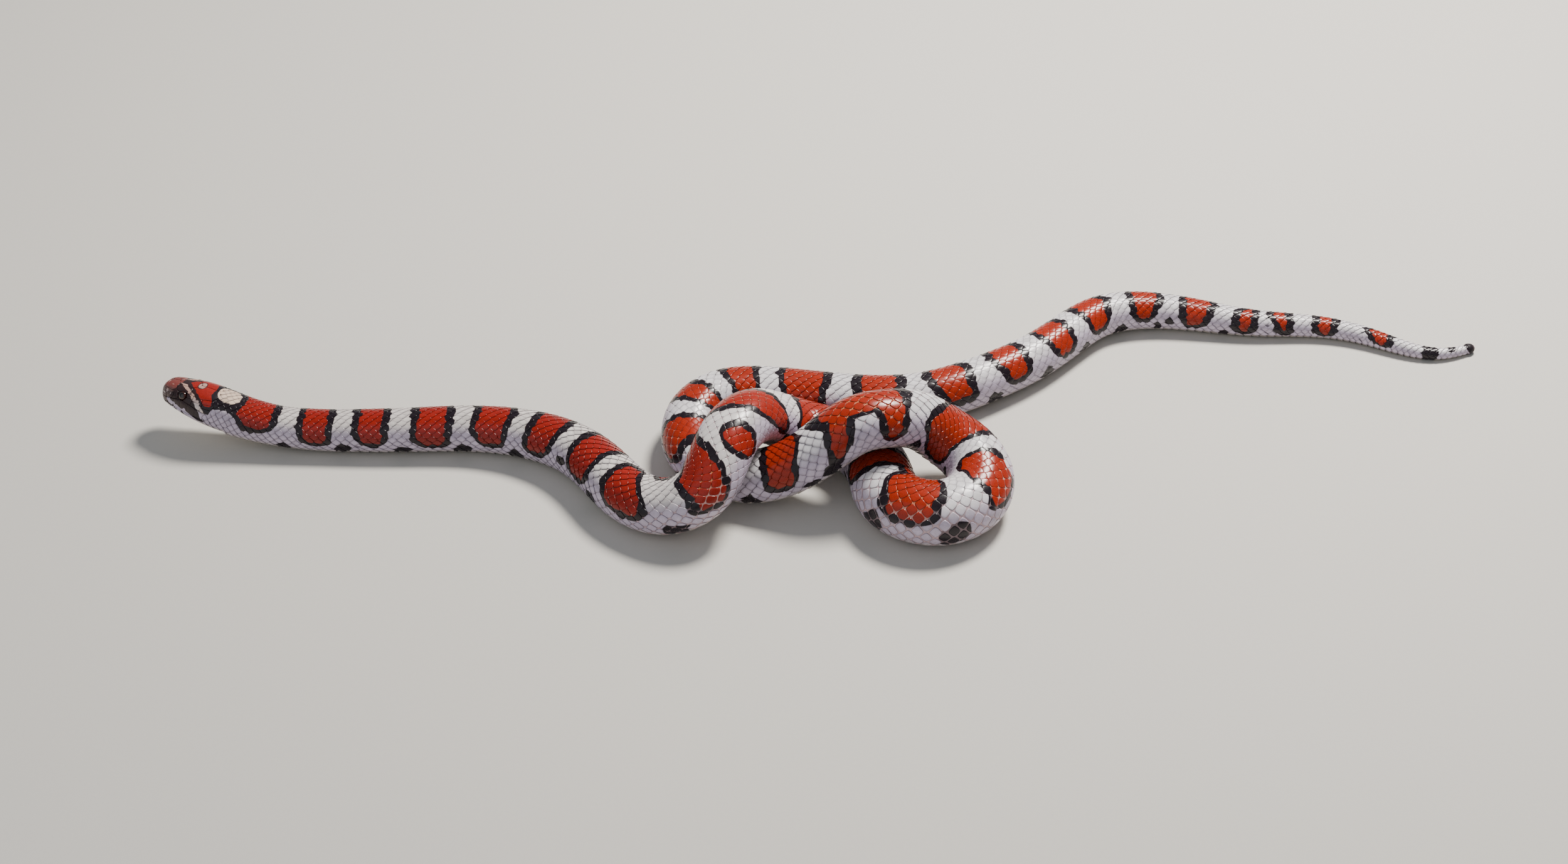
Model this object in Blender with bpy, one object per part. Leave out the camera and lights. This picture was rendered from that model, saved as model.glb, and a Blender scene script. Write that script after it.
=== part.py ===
"""A milk snake at life size, resting on the floor in loose coils with its head a little raised."""
import math

import bmesh
import bpy
import numpy as np
from mathutils import Vector

MM = 0.001

# The line that the belly follows from the snout to the tip of the tail, in millimetres:
# x, y and the rise over the floor
BELLY_LINE = (
    (-168, 5, 8.9), (-161.5, 1.5, 7.3), (-155.5, -1, 5.7), (-148.5, -3, 3.8), (-137.5, -5, 1.4),
    (-120.5, -6, 0), (-100, -6, 0), (-81.5, -6, 0), (-66.5, -9.5, 0), (-57, -15, 0),
    (-48.5, -24.5, 0), (-42, -34, 0), (-34, -40.5, 0.5), (-26.5, -42.5, 3), (-21, -41, 6.5),
    (-17.5, -36, 11), (-14, -27.5, 14), (-8.5, -18, 12.5), (0, -10.5, 5), (9, -9.5, 0.5),
    (16, -12.5, 0), (22, -18.5, 0), (25.5, -27.5, 0), (28, -37.5, 0), (34, -43, 0),
    (42, -44, 0), (49, -39.5, 0), (52, -31, 1), (48.5, -22.5, 3.5), (43, -19.5, 6.5),
    (35.5, -19.5, 12), (27, -23, 15.5), (20, -25, 15.5), (11.5, -27.5, 11), (4, -28.5, 5.5),
    (-3, -28.5, 2), (-10.5, -27, 0), (-18, -23.5, 0), (-23.5, -18, 0.5), (-25.5, -9.5, 1),
    (-23.5, -0.5, 1.5), (-17.5, 6, 1.5), (-9, 8.5, 1), (7, 8, 0), (24, 6, 0),
    (41, 8.5, 0), (55, 16, 0), (68, 25.5, 0), (80, 38, 0), (89.5, 46.5, 0),
    (100, 49.5, 0), (115, 48.5, 0), (132.5, 45.5, 0), (150.5, 44.5, 0), (163, 41, 0),
    (174, 35.5, 0), (182.5, 33.5, 0), (193.5, 37, 0),
)
# The middle of the footprint in those numbers, which becomes the origin
FOOTPRINT_MIDDLE = (12.51, 0.92)
# Sections of the head and neck: distance behind the snout, half width, height of the crown
# over the middle line and depth of the throat below it
HEAD_SECTIONS = (
    (0, 3.2, 3.2, 2.4), (4, 4.5, 4.0, 3.3), (8, 5.6, 4.8, 4.0), (12, 6.3, 5.3, 4.4),
    (15, 6.5, 5.5, 4.6), (18, 6.4, 5.5, 4.6), (22, 6.1, 5.4, 4.6), (28, 5.9, 5.3, 4.7),
)
# Half width of the body at a distance behind the snout
BODY_WIDTHS = (
    (44, 6.1), (70, 6.5), (95, 6.9), (113, 7.4), (129, 7.8), (150, 8.2), (183, 8.3), (210, 8.35),
    (243, 8.7), (265, 9.3), (279, 9.2), (290, 8.9), (305, 8.7), (320, 8.5), (345, 8.3),
    (360, 8.05), (373, 7.9), (390, 7.6), (420, 7.6), (453, 7.45), (477, 7.3), (495, 6.9),
    (527, 6.3), (539, 6.0), (557, 5.1), (575, 4.1), (592, 3.4), (610, 2.75), (623, 2.15),
    (632, 1.6), (640, 1.2),
)
# Height of the body over its width: it is pressed flatter where one coil lies on another
BODY_FLATNESS = (
    (44, 0.9), (140, 0.9), (165, 0.86), (205, 0.86), (245, 0.9), (310, 0.9), (350, 0.86),
    (380, 0.86), (420, 0.9), (640, 0.92),
)
BELLY_DEPTH = 0.93
# How far the head is rolled at a distance behind the snout, in degrees that lift its left side
ROLL = ((0, 9), (14, 9), (45, 0))
# The head's section is squarer than an ellipse, whose power is 2, and the neck's is one again
SQUARENESS = ((0, 2.4), (18, 2.5), (34, 2.0))
WIDTH_BLEND = 6.0
SNOUT_ROUND = 3.0
TAIL_ROUND = 3.0
LOWEST_FLAT = 0.2

# The lengths that the body is parted in, by the distance at which each ends
LENGTHS = (
    ("neck", 58), ("body_01", 104), ("body_02", 140), ("body_03", 172), ("body_04", 202),
    ("body_05", 234), ("body_06", 262), ("body_07", 292), ("body_08", 324), ("body_09", 356),
    ("body_10", 388), ("body_11", 422), ("body_12", 484), ("body_13", 548), ("tail_1", 596),
)
HEAD_END = 21.0
SEAM = 0.3
SIDES = 22
# A length that turns by more than this many radians over twice the span has its rings closer
BEND_SPAN = 6.0
SHARP_BEND = 0.35
BEND_STEP = 4.0
STRAIGHT_STEP = 5.5

HEAD_SIDES = 32
HEAD_STEP = 0.9
# Rings over the rounding of the snout and of the tail's tip, as shares of its length
SNOUT_RINGS = (0.04, 0.14, 0.3, 0.5, 0.72)
TAIL_RINGS = (1.0, 0.45, 0.12)
CREASE = 40.0

# Eyes, nostrils and the line of the mouth
EYE_DISTANCE = 8.3
EYE_RADIUS = 1.3
EYE_HEIGHT = 3.0
EYE_STANDS_OUT = 0.35
SOCKET_GAP = 0.3
NOSTRIL_DISTANCE = 2.1
NOSTRIL_HEIGHT = 0.7
NOSTRIL_RADIUS = 0.4
MOUTH_END = 14.0
MOUTH_WIDTH = 0.36
MOUTH_DEPTH = 0.5
MOUTH_BELOW = 0.32
MOUTH_STEPS = 14
MOUTH_TURN = 80.0
SLIVER = 0.03


def clear_scene():
    """Removes every object that the file opened with."""
    for obj in list(bpy.data.objects):
        bpy.data.objects.remove(obj, do_unlink=True)


def material(name, colour, roughness):
    """A Principled material of one colour, given as linear red, green and blue."""
    made = bpy.data.materials.new(name)
    made.use_nodes = True
    shader = made.node_tree.nodes["Principled BSDF"]
    shader.inputs["Base Color"].default_value = (*colour, 1.0)
    shader.inputs["Roughness"].default_value = roughness
    shader.inputs["Metallic"].default_value = 0.0
    made.diffuse_color = (*colour, 1.0)
    return made


def smooth_curve(points):
    """A natural cubic through the points, as a function of the distance along their chords."""
    points = np.array(points, float)
    at = np.concatenate([[0.0], np.cumsum(np.linalg.norm(np.diff(points, axis=0), axis=1))])
    count = len(at)
    gap = np.diff(at)
    system = np.eye(count)
    right = np.zeros(points.shape)
    for i in range(1, count - 1):
        system[i, i - 1:i + 2] = gap[i - 1], 2 * (gap[i - 1] + gap[i]), gap[i]
        right[i] = 6 * ((points[i + 1] - points[i]) / gap[i] - (points[i] - points[i - 1]) / gap[i - 1])
    bend = np.linalg.solve(system, right)

    def place(distance):
        i = int(np.clip(np.searchsorted(at, distance) - 1, 0, count - 2))
        after, before, span = distance - at[i], at[i + 1] - distance, gap[i]
        curved = (bend[i] * before ** 3 + bend[i + 1] * after ** 3) / (6 * span)
        straight = (points[i] / span - bend[i] * span / 6) * before
        return curved + straight + (points[i + 1] / span - bend[i + 1] * span / 6) * after

    return place, at[-1]


def body_sections():
    """Distances with half width, crown and depth, from the snout to the tip of the tail."""
    rows = [list(row) for row in HEAD_SECTIONS]
    flat_at, flat_of = zip(*BODY_FLATNESS)
    for distance, half in BODY_WIDTHS:
        height = half * np.interp(distance, flat_at, flat_of)
        rows.append([distance, half, height, height * BELLY_DEPTH])
    return np.array(rows, float).T


SECTIONS = body_sections()


def girth(distance):
    """Half width, crown and depth there, averaged over a short stretch so that no crease shows."""
    blend = min(WIDTH_BLEND, distance)
    spots = np.linspace(distance - blend, distance + blend, 9)
    return [float(np.mean(np.interp(spots, SECTIONS[0], row))) for row in SECTIONS[1:]]


def trace_spine(step=0.5):
    """Points of the middle line every half millimetre or so, with the distance of each."""
    place, length = smooth_curve(BELLY_LINE)
    belly = np.array([place(t) for t in np.arange(0, length, step)] + [place(length)])
    belly[:, 2] = np.maximum(belly[:, 2], 0.0)
    along = np.concatenate([[0.0], np.cumsum(np.linalg.norm(np.diff(belly, axis=0), axis=1))])
    middle = belly.copy()
    middle[:, 2] += [girth(distance)[2] for distance in along]
    middle[:, :2] -= FOOTPRINT_MIDDLE
    return along, middle


ALONG, MIDDLE = trace_spine()
LENGTH = float(ALONG[-1])


def frame_at(distance):
    """The middle of the body there, with the directions forward, to its side and to its back."""
    reach = 1.0
    low, high = max(distance - reach, 0.0), min(distance + reach, LENGTH)
    spot = [Vector([np.interp(d, ALONG, MIDDLE[:, k]) for k in range(3)]) for d in (low, distance, high)]
    forward = (spot[2] - spot[0]).normalized()
    level = forward.cross(Vector((0, 0, 1))).normalized()
    roll = math.radians(np.interp(distance, *zip(*ROLL)))
    side = level * math.cos(roll) + level.cross(forward) * math.sin(roll)
    return spot[1], forward, side, side.cross(forward)


def end_rounding(distance):
    """How far the rounding of the snout or of the tail's tip has drawn the section in."""
    share = min(distance / SNOUT_ROUND, (LENGTH - distance) / TAIL_ROUND, 1.0)
    return math.sqrt(max(0.0, 1 - (1 - share) ** 2))


def rounded(share, power):
    """What is left of one half measure of the section where the other is at this share of its own."""
    return (1 - min(1.0, abs(share)) ** power) ** (1 / power)


def power_at(distance):
    """The power of the section's outline there."""
    return float(np.interp(distance, *zip(*SQUARENESS)))


def section_ring(distance, sides):
    """The body's outline at a distance, with the belly flat where it meets the floor."""
    middle, _, side, back = frame_at(distance)
    half, crown, depth = girth(distance)
    drawn = end_rounding(distance)
    square = 2 / power_at(distance)
    ring = []
    for k in range(sides):
        angle = 2 * math.pi * (k + 0.5) / sides - math.pi / 2
        across = half * math.copysign(abs(math.cos(angle)) ** square, math.cos(angle))
        rise = math.copysign(abs(math.sin(angle)) ** square, math.sin(angle))
        if rise > 0 or distance > HEAD_END:
            rise = max(rise * crown, -depth)
        else:
            rise *= depth
        point = middle + (side * across + back * rise) * drawn
        if point.z < LOWEST_FLAT:
            point.z = 0.0
        ring.append(point)
    return ring


def rings_to_object(name, rings, look, ends=(None, None)):
    """A closed body through the rings. An end point closes that end to a tip, else it is a flat."""
    mesh = bmesh.new()
    rows = [[mesh.verts.new(point * MM) for point in ring] for ring in rings]
    sides = len(rows[0])
    for first, second in zip(rows, rows[1:]):
        for k in range(sides):
            after = (k + 1) % sides
            mesh.faces.new((first[k], first[after], second[after], second[k]))
    for row, tip in ((rows[0], ends[0]), (rows[-1], ends[1])):
        if tip is None:
            mesh.faces.new(row)
            continue
        point = mesh.verts.new(tip * MM)
        for k in range(sides):
            mesh.faces.new((row[k], row[(k + 1) % sides], point))
    bmesh.ops.recalc_face_normals(mesh, faces=mesh.faces)
    data = bpy.data.meshes.new(name)
    mesh.to_mesh(data)
    mesh.free()
    data.shade_smooth()
    data.set_sharp_from_angle(angle=math.radians(CREASE))
    if look:
        data.materials.append(look)
    made = bpy.data.objects.new(name, data)
    bpy.context.scene.collection.objects.link(made)
    return made


def bend_at(distance):
    """How sharply the body turns there, as the angle between its ways a span before and after."""
    before = frame_at(max(distance - BEND_SPAN, 0))[1]
    after = frame_at(min(distance + BEND_SPAN, LENGTH))[1]
    return before.angle(after)


def body_length(name, start, end, look):
    """One length of the body between two flat ends."""
    sharpest = max(bend_at(distance) for distance in np.linspace(start, end, 9))
    step = BEND_STEP if sharpest > SHARP_BEND else STRAIGHT_STEP
    count = max(2, math.ceil((end - start) / step)) + 1
    spots = np.linspace(start + SEAM / 2, end - SEAM / 2, count)
    return rings_to_object(name, [section_ring(d, SIDES) for d in spots], look)


def tail_end(name, start, look):
    """The last length of the tail, which tapers to a point."""
    spots = list(np.arange(start + SEAM / 2, LENGTH - TAIL_ROUND, STRAIGHT_STEP))
    spots += [LENGTH - TAIL_ROUND * share for share in TAIL_RINGS]
    tip = frame_at(LENGTH)[0]
    return rings_to_object(name, [section_ring(d, SIDES) for d in spots], look, (None, tip))


def side_point(distance, height, side_sign, stand_out=0.0):
    """A point at a height over the middle line that stands out from the side of the head."""
    middle, _, side, back = frame_at(distance)
    half, crown, depth = girth(distance)
    reach = crown if height > 0 else depth
    drawn = end_rounding(distance)
    power = power_at(distance)
    level = height / (reach * drawn)
    width = rounded(level, power)
    lean = math.copysign(abs(level) ** (power - 1), level)
    outward = (side * (side_sign * width ** (power - 1) / half) + back * (lean / reach)).normalized()
    return middle + side * (half * width * drawn * side_sign) + back * height + outward * stand_out


def ball(name, centre, radius, look):
    """A faceted ball."""
    mesh = bmesh.new()
    bmesh.ops.create_uvsphere(mesh, u_segments=16, v_segments=10, radius=radius * MM)
    bmesh.ops.translate(mesh, verts=mesh.verts, vec=centre * MM)
    data = bpy.data.meshes.new(name)
    mesh.to_mesh(data)
    mesh.free()
    data.shade_smooth()
    if look:
        data.materials.append(look)
    made = bpy.data.objects.new(name, data)
    bpy.context.scene.collection.objects.link(made)
    return made


def cut(target, cutter):
    """Takes the cutter out of the target for good."""
    cutter.hide_render = True
    cutter.display_type = "WIRE"
    modifier = target.modifiers.new("cut", "BOOLEAN")
    modifier.operation = "DIFFERENCE"
    modifier.object = cutter
    bpy.context.view_layer.update()
    cut_mesh = bpy.data.meshes.new_from_object(target.evaluated_get(bpy.context.evaluated_depsgraph_get()))
    target.modifiers.clear()
    target.data = cut_mesh
    bpy.data.objects.remove(cutter, do_unlink=True)


def drop_slivers(target):
    """Welds the points that the cuts left closer together than a slit is wide."""
    mesh = bmesh.new()
    mesh.from_mesh(target.data)
    bmesh.ops.triangulate(mesh, faces=mesh.faces)
    bmesh.ops.remove_doubles(mesh, verts=mesh.verts, dist=SLIVER * MM)
    bmesh.ops.dissolve_degenerate(mesh, edges=mesh.edges, dist=SLIVER * MM)
    bmesh.ops.triangulate(mesh, faces=mesh.faces)
    bmesh.ops.recalc_face_normals(mesh, faces=mesh.faces)
    mesh.to_mesh(target.data)
    mesh.free()
    target.data.shade_smooth()
    target.data.set_sharp_from_angle(angle=math.radians(CREASE))


def mouth_cutter():
    """A thin blade that runs round the muzzle from one corner of the mouth to the other."""
    level = rounded(MOUTH_BELOW, power_at(MOUTH_END))
    round_end = SNOUT_ROUND * (1 - level * math.cos(math.radians(MOUTH_TURN)))
    along_jaw = np.linspace(MOUTH_END, round_end, MOUTH_STEPS)
    route = [(d, -90.0) for d in along_jaw[:-1]]
    route += [(None, turn) for turn in np.linspace(-MOUTH_TURN, MOUTH_TURN, MOUTH_STEPS)]
    route += [(d, 90.0) for d in along_jaw[::-1][1:]]
    rings = []
    for distance, turn in route:
        angle = math.radians(turn)
        if distance is None:
            distance = SNOUT_ROUND * (1 - level * math.cos(angle))
        middle, forward, side, back = frame_at(distance)
        half, _, depth = girth(distance)
        outward = side * math.sin(angle) + forward * -math.cos(angle)
        lip = middle + side * (half * level * math.sin(angle)) - back * (depth * MOUTH_BELOW)
        inner = lip - outward * MOUTH_DEPTH
        outer = lip + outward * MOUTH_DEPTH
        half_slit = back * (MOUTH_WIDTH / 2)
        rings.append([inner - half_slit, outer - half_slit, outer + half_slit, inner + half_slit])
    return rings_to_object("mouth_cutter", rings, None)


def head(look):
    """The head, with the line of the mouth, the nostrils and the sockets of the eyes cut in."""
    spots = [SNOUT_ROUND * share for share in SNOUT_RINGS]
    count = 1 + round((HEAD_END - SNOUT_ROUND) / HEAD_STEP)
    spots += list(np.linspace(SNOUT_ROUND, HEAD_END - SEAM / 2, count))
    rings = [section_ring(d, HEAD_SIDES) for d in spots]
    made = rings_to_object("head", rings, look, (frame_at(0.0)[0], None))
    for side_sign in (-1, 1):
        cut(made, ball("socket", eye_centre(side_sign), EYE_RADIUS + SOCKET_GAP, None))
        nostril = side_point(NOSTRIL_DISTANCE, NOSTRIL_HEIGHT, side_sign)
        cut(made, ball("nostril", nostril, NOSTRIL_RADIUS, None))
    cut(made, mouth_cutter())
    drop_slivers(made)
    return made


def eye_centre(side_sign):
    """The middle of an eye, set so that a little of it stands out of the head."""
    return side_point(EYE_DISTANCE, EYE_HEIGHT, side_sign, EYE_STANDS_OUT - EYE_RADIUS)


def build():
    clear_scene()
    scales = material("banded_scales", (0.42, 0.09, 0.05), 0.4)
    pale = material("pale_scales", (0.55, 0.52, 0.5), 0.4)
    crown = material("head_shields", (0.3, 0.05, 0.035), 0.35)
    eye = material("eye", (0.02, 0.008, 0.006), 0.1)
    head(crown)
    ball("eye_left", eye_centre(1), EYE_RADIUS, eye)
    ball("eye_right", eye_centre(-1), EYE_RADIUS, eye)
    start = HEAD_END
    for name, end in LENGTHS:
        body_length(name, start, end, pale if name == "neck" else scales)
        start = end
    tail_end("tail_2", start, scales)


build()
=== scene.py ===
"""Looks of a life-size milk snake that lies in loose crossing coils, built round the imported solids."""
import math

import bmesh
import bpy
import numpy as np
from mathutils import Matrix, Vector
from mathutils.geometry import delaunay_2d_cdt


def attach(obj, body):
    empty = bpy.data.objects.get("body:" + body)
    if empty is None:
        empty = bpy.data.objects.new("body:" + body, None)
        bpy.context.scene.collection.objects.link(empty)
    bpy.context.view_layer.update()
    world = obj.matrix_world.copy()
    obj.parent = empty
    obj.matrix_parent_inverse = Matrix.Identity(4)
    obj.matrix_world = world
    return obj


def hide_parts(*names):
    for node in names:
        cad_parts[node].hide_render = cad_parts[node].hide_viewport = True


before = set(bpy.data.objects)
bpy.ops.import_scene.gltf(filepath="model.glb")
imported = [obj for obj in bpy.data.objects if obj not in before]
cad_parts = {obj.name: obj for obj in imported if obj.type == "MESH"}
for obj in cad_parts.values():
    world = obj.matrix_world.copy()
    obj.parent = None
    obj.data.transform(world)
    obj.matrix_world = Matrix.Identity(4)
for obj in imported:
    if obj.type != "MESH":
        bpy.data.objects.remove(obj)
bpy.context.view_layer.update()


# Skin
# The snake's skin is one thin, slightly pink hide, pale or dark where the scales over it are. It has
# no seam: it runs from the snout to the tip of the tail and folds in only round the eyes and along the
# mouth. It shows as fine lines where a bend draws the scales apart.
MM = 0.001
# The line that the belly follows, in millimetres: x, y and the rise over the floor
BELLY_LINE = (
    (-168, 5, 8.9), (-161.5, 1.5, 7.3), (-155.5, -1, 5.7), (-148.5, -3, 3.8), (-137.5, -5, 1.4),
    (-120.5, -6, 0), (-100, -6, 0), (-81.5, -6, 0), (-66.5, -9.5, 0), (-57, -15, 0),
    (-48.5, -24.5, 0), (-42, -34, 0), (-34, -40.5, 0.5), (-26.5, -42.5, 3), (-21, -41, 6.5),
    (-17.5, -36, 11), (-14, -27.5, 14), (-8.5, -18, 12.5), (0, -10.5, 5), (9, -9.5, 0.5),
    (16, -12.5, 0), (22, -18.5, 0), (25.5, -27.5, 0), (28, -37.5, 0), (34, -43, 0),
    (42, -44, 0), (49, -39.5, 0), (52, -31, 1), (48.5, -22.5, 3.5), (43, -19.5, 6.5),
    (35.5, -19.5, 12), (27, -23, 15.5), (20, -25, 15.5), (11.5, -27.5, 11), (4, -28.5, 5.5),
    (-3, -28.5, 2), (-10.5, -27, 0), (-18, -23.5, 0), (-23.5, -18, 0.5), (-25.5, -9.5, 1),
    (-23.5, -0.5, 1.5), (-17.5, 6, 1.5), (-9, 8.5, 1), (7, 8, 0), (24, 6, 0),
    (41, 8.5, 0), (55, 16, 0), (68, 25.5, 0), (80, 38, 0), (89.5, 46.5, 0),
    (100, 49.5, 0), (115, 48.5, 0), (132.5, 45.5, 0), (150.5, 44.5, 0), (163, 41, 0),
    (174, 35.5, 0), (182.5, 33.5, 0), (193.5, 37, 0),
)
FOOTPRINT_MIDDLE = (12.51, 0.92)
BELLY_POINTS = 2600
# Distance behind the snout, half width, height of the crown over the middle line, depth below it
HEAD_SECTIONS = (
    (0, 3.2, 3.2, 2.4), (4, 4.5, 4.0, 3.3), (8, 5.6, 4.8, 4.0), (12, 6.3, 5.3, 4.4),
    (15, 6.5, 5.5, 4.6), (18, 6.4, 5.5, 4.6), (22, 6.1, 5.4, 4.6), (28, 5.9, 5.3, 4.7),
)
BODY_WIDTHS = (
    (44, 6.1), (70, 6.5), (95, 6.9), (113, 7.4), (129, 7.8), (150, 8.2), (183, 8.3), (210, 8.35),
    (243, 8.7), (265, 9.3), (279, 9.2), (290, 8.9), (305, 8.7), (320, 8.5), (345, 8.3),
    (360, 8.05), (373, 7.9), (390, 7.6), (420, 7.6), (453, 7.45), (477, 7.3), (495, 6.9),
    (527, 6.3), (539, 6.0), (557, 5.1), (575, 4.1), (592, 3.4), (610, 2.75), (623, 2.15),
    (632, 1.65), (640, 1.4),
)
BODY_FLATNESS = (
    (44, 0.9), (140, 0.9), (165, 0.86), (205, 0.86), (245, 0.9), (310, 0.9), (350, 0.86),
    (380, 0.86), (420, 0.9), (640, 0.92),
)
BELLY_DEPTH = 0.93
ROLL = ((0, 9), (14, 9), (45, 0))
SQUARENESS = ((0, 2.4), (18, 2.5), (34, 2.0))
WIDTH_BLEND = 6.0
SNOUT_ROUND = 3.0
TAIL_ROUND = 2.0
HEAD_END = 21.0


def smooth_curve(points, count):
    """Points along a natural cubic through the given ones, by the distance along its chords."""
    points = np.array(points, float)
    at = np.concatenate([[0.0], np.cumsum(np.linalg.norm(np.diff(points, axis=0), axis=1))])
    gap = np.diff(at)
    system = np.eye(len(at))
    right = np.zeros(points.shape)
    for i in range(1, len(at) - 1):
        system[i, i - 1:i + 2] = gap[i - 1], 2 * (gap[i - 1] + gap[i]), gap[i]
        right[i] = 6 * ((points[i + 1] - points[i]) / gap[i] - (points[i] - points[i - 1]) / gap[i - 1])
    bend = np.linalg.solve(system, right)
    spots = np.linspace(0, at[-1], count)
    i = np.clip(np.searchsorted(at, spots) - 1, 0, len(gap) - 1)
    after = (spots - at[i])[:, None]
    before = (at[i + 1] - spots)[:, None]
    span = gap[i][:, None]
    curved = (bend[i] * before ** 3 + bend[i + 1] * after ** 3) / (6 * span)
    straight = (points[i] / span - bend[i] * span / 6) * before
    return curved + straight + (points[i + 1] / span - bend[i + 1] * span / 6) * after


def body_sections():
    """Distances with half width, crown and depth, from the snout to the tip of the tail."""
    rows = [list(row) for row in HEAD_SECTIONS]
    flat_at, flat_of = zip(*BODY_FLATNESS)
    for distance, half in BODY_WIDTHS:
        height = half * np.interp(distance, flat_at, flat_of)
        rows.append([distance, half, height, height * BELLY_DEPTH])
    return np.array(rows, float).T


SECTIONS = body_sections()


def girth(distance):
    """Half width, crown and depth, averaged over a short stretch so that no crease shows."""
    blend = np.minimum(WIDTH_BLEND, distance)
    spots = [distance + blend * share for share in np.linspace(-1, 1, 9)]
    return [np.mean([np.interp(spot, SECTIONS[0], row) for spot in spots], axis=0) for row in SECTIONS[1:]]


belly = smooth_curve(BELLY_LINE, BELLY_POINTS)
belly[:, 2] = np.maximum(belly[:, 2], 0.0)
ALONG = np.concatenate([[0.0], np.cumsum(np.linalg.norm(np.diff(belly, axis=0), axis=1))])
LENGTH = float(ALONG[-1])
MIDDLE = belly + np.stack([0 * ALONG, 0 * ALONG, girth(ALONG)[2]], axis=1)
MIDDLE[:, :2] -= FOOTPRINT_MIDDLE


def middle_at(distance):
    """The middle of the body at a distance behind the snout."""
    return np.stack([np.interp(distance, ALONG, MIDDLE[:, k]) for k in range(3)], axis=-1)


def unit(vectors):
    """The same directions, each of length one."""
    return vectors / np.maximum(np.linalg.norm(vectors, axis=-1, keepdims=True), 1e-9)


def body_point(distance, angle):
    """A point of the body's outline, at an angle from the back that grows towards its left side."""
    forward = unit(middle_at(distance + 1) - middle_at(distance - 1))
    level = unit(np.cross(forward, [0, 0, 1.0]))
    roll = np.radians(np.interp(distance, *zip(*ROLL)))[..., None]
    side = level * np.cos(roll) + np.cross(level, forward) * np.sin(roll)
    back = np.cross(side, forward)
    half, crown, depth = girth(distance)
    share = np.minimum(np.minimum(distance / SNOUT_ROUND, (LENGTH - distance) / TAIL_ROUND), 1)
    drawn = np.sqrt(np.maximum(0, 1 - (1 - share) ** 2))
    square = 2 / np.interp(distance, *zip(*SQUARENESS))
    across = half * np.sign(np.sin(angle)) * np.abs(np.sin(angle)) ** square
    rise = np.sign(np.cos(angle)) * np.abs(np.cos(angle)) ** square
    below = np.where(distance > HEAD_END, np.maximum(rise * crown, -depth), rise * depth)
    rise = np.where(rise > 0, rise * crown, below)
    return middle_at(distance) + side * (across * drawn)[..., None] + back * (rise * drawn)[..., None]


# A table of the outline every half millimetre and three degrees, closer over the rounded ends
rounding = 1 - np.cos(np.linspace(0, math.pi / 2, 15))
STATIONS = np.concatenate([
    SNOUT_ROUND * rounding,
    np.arange(SNOUT_ROUND + 0.5, LENGTH - TAIL_ROUND - 0.2, 0.5),
    LENGTH - TAIL_ROUND * rounding[::-1],
])
ANGLE_STEP = 3.0
ANGLES = np.radians(np.arange(-180, 180 + ANGLE_STEP / 2, ANGLE_STEP))
SURFACE = body_point(*np.meshgrid(STATIONS, ANGLES, indexing="ij"))
step_along = np.gradient(SURFACE, STATIONS, axis=0)
step_round = np.roll(SURFACE[:, :-1], -1, axis=1) - np.roll(SURFACE[:, :-1], 1, axis=1)
step_round = np.concatenate([step_round, step_round[:, :1]], axis=1) / (2 * math.radians(ANGLE_STEP))
OUTWARD = unit(np.cross(step_round, step_along))
OUTWARD[0] = unit(middle_at(np.array(0.0)) - middle_at(np.array(1.0)))
OUTWARD[-1] = unit(middle_at(np.array(LENGTH)) - middle_at(np.array(LENGTH - 1)))
# Millimetres along the surface for each of the middle line's, and for each radian round it
ALONG_STRETCH = np.linalg.norm(step_along, axis=-1)
ROUND_STRETCH = np.linalg.norm(step_round, axis=-1)
# Millimetres round the surface from the middle of the back
LATERAL = np.cumsum(ROUND_STRETCH, axis=1) * math.radians(ANGLE_STEP)
LATERAL -= LATERAL[:, len(ANGLES) // 2, None]


def read(table, distance, angle):
    """A table's value at a distance and an angle, blended from its nearest entries."""
    row = np.interp(distance, STATIONS, np.arange(len(STATIONS)))
    column = np.mod(np.degrees(angle) + 180, 360) / ANGLE_STEP
    i = np.minimum(row.astype(int), len(STATIONS) - 2)
    j = np.minimum(column.astype(int), len(ANGLES) - 2)
    down, across = row - i, column - j
    if table.ndim == 3:
        down, across = down[..., None], across[..., None]
    near = table[i, j] * (1 - down) + table[i + 1, j] * down
    far = table[i, j + 1] * (1 - down) + table[i + 1, j + 1] * down
    return near * (1 - across) + far * across


def on_body(distance, angle, lift):
    """Points that stand a lift out from the outline, or inside it, and never under the floor."""
    point = read(SURFACE, distance, angle) + read(OUTWARD, distance, angle) * np.asarray(lift)[..., None]
    point[..., 2] = np.maximum(point[..., 2], 0.0)
    return point


def ramp(value, start, end):
    """A smooth rise from 0 to 1 between two values."""
    share = np.clip((value - start) / (end - start), 0, 1)
    return share * share * (3 - 2 * share)


def mix(first, second, share):
    """A blend of two values by a share."""
    return first + (second - first) * share


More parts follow.
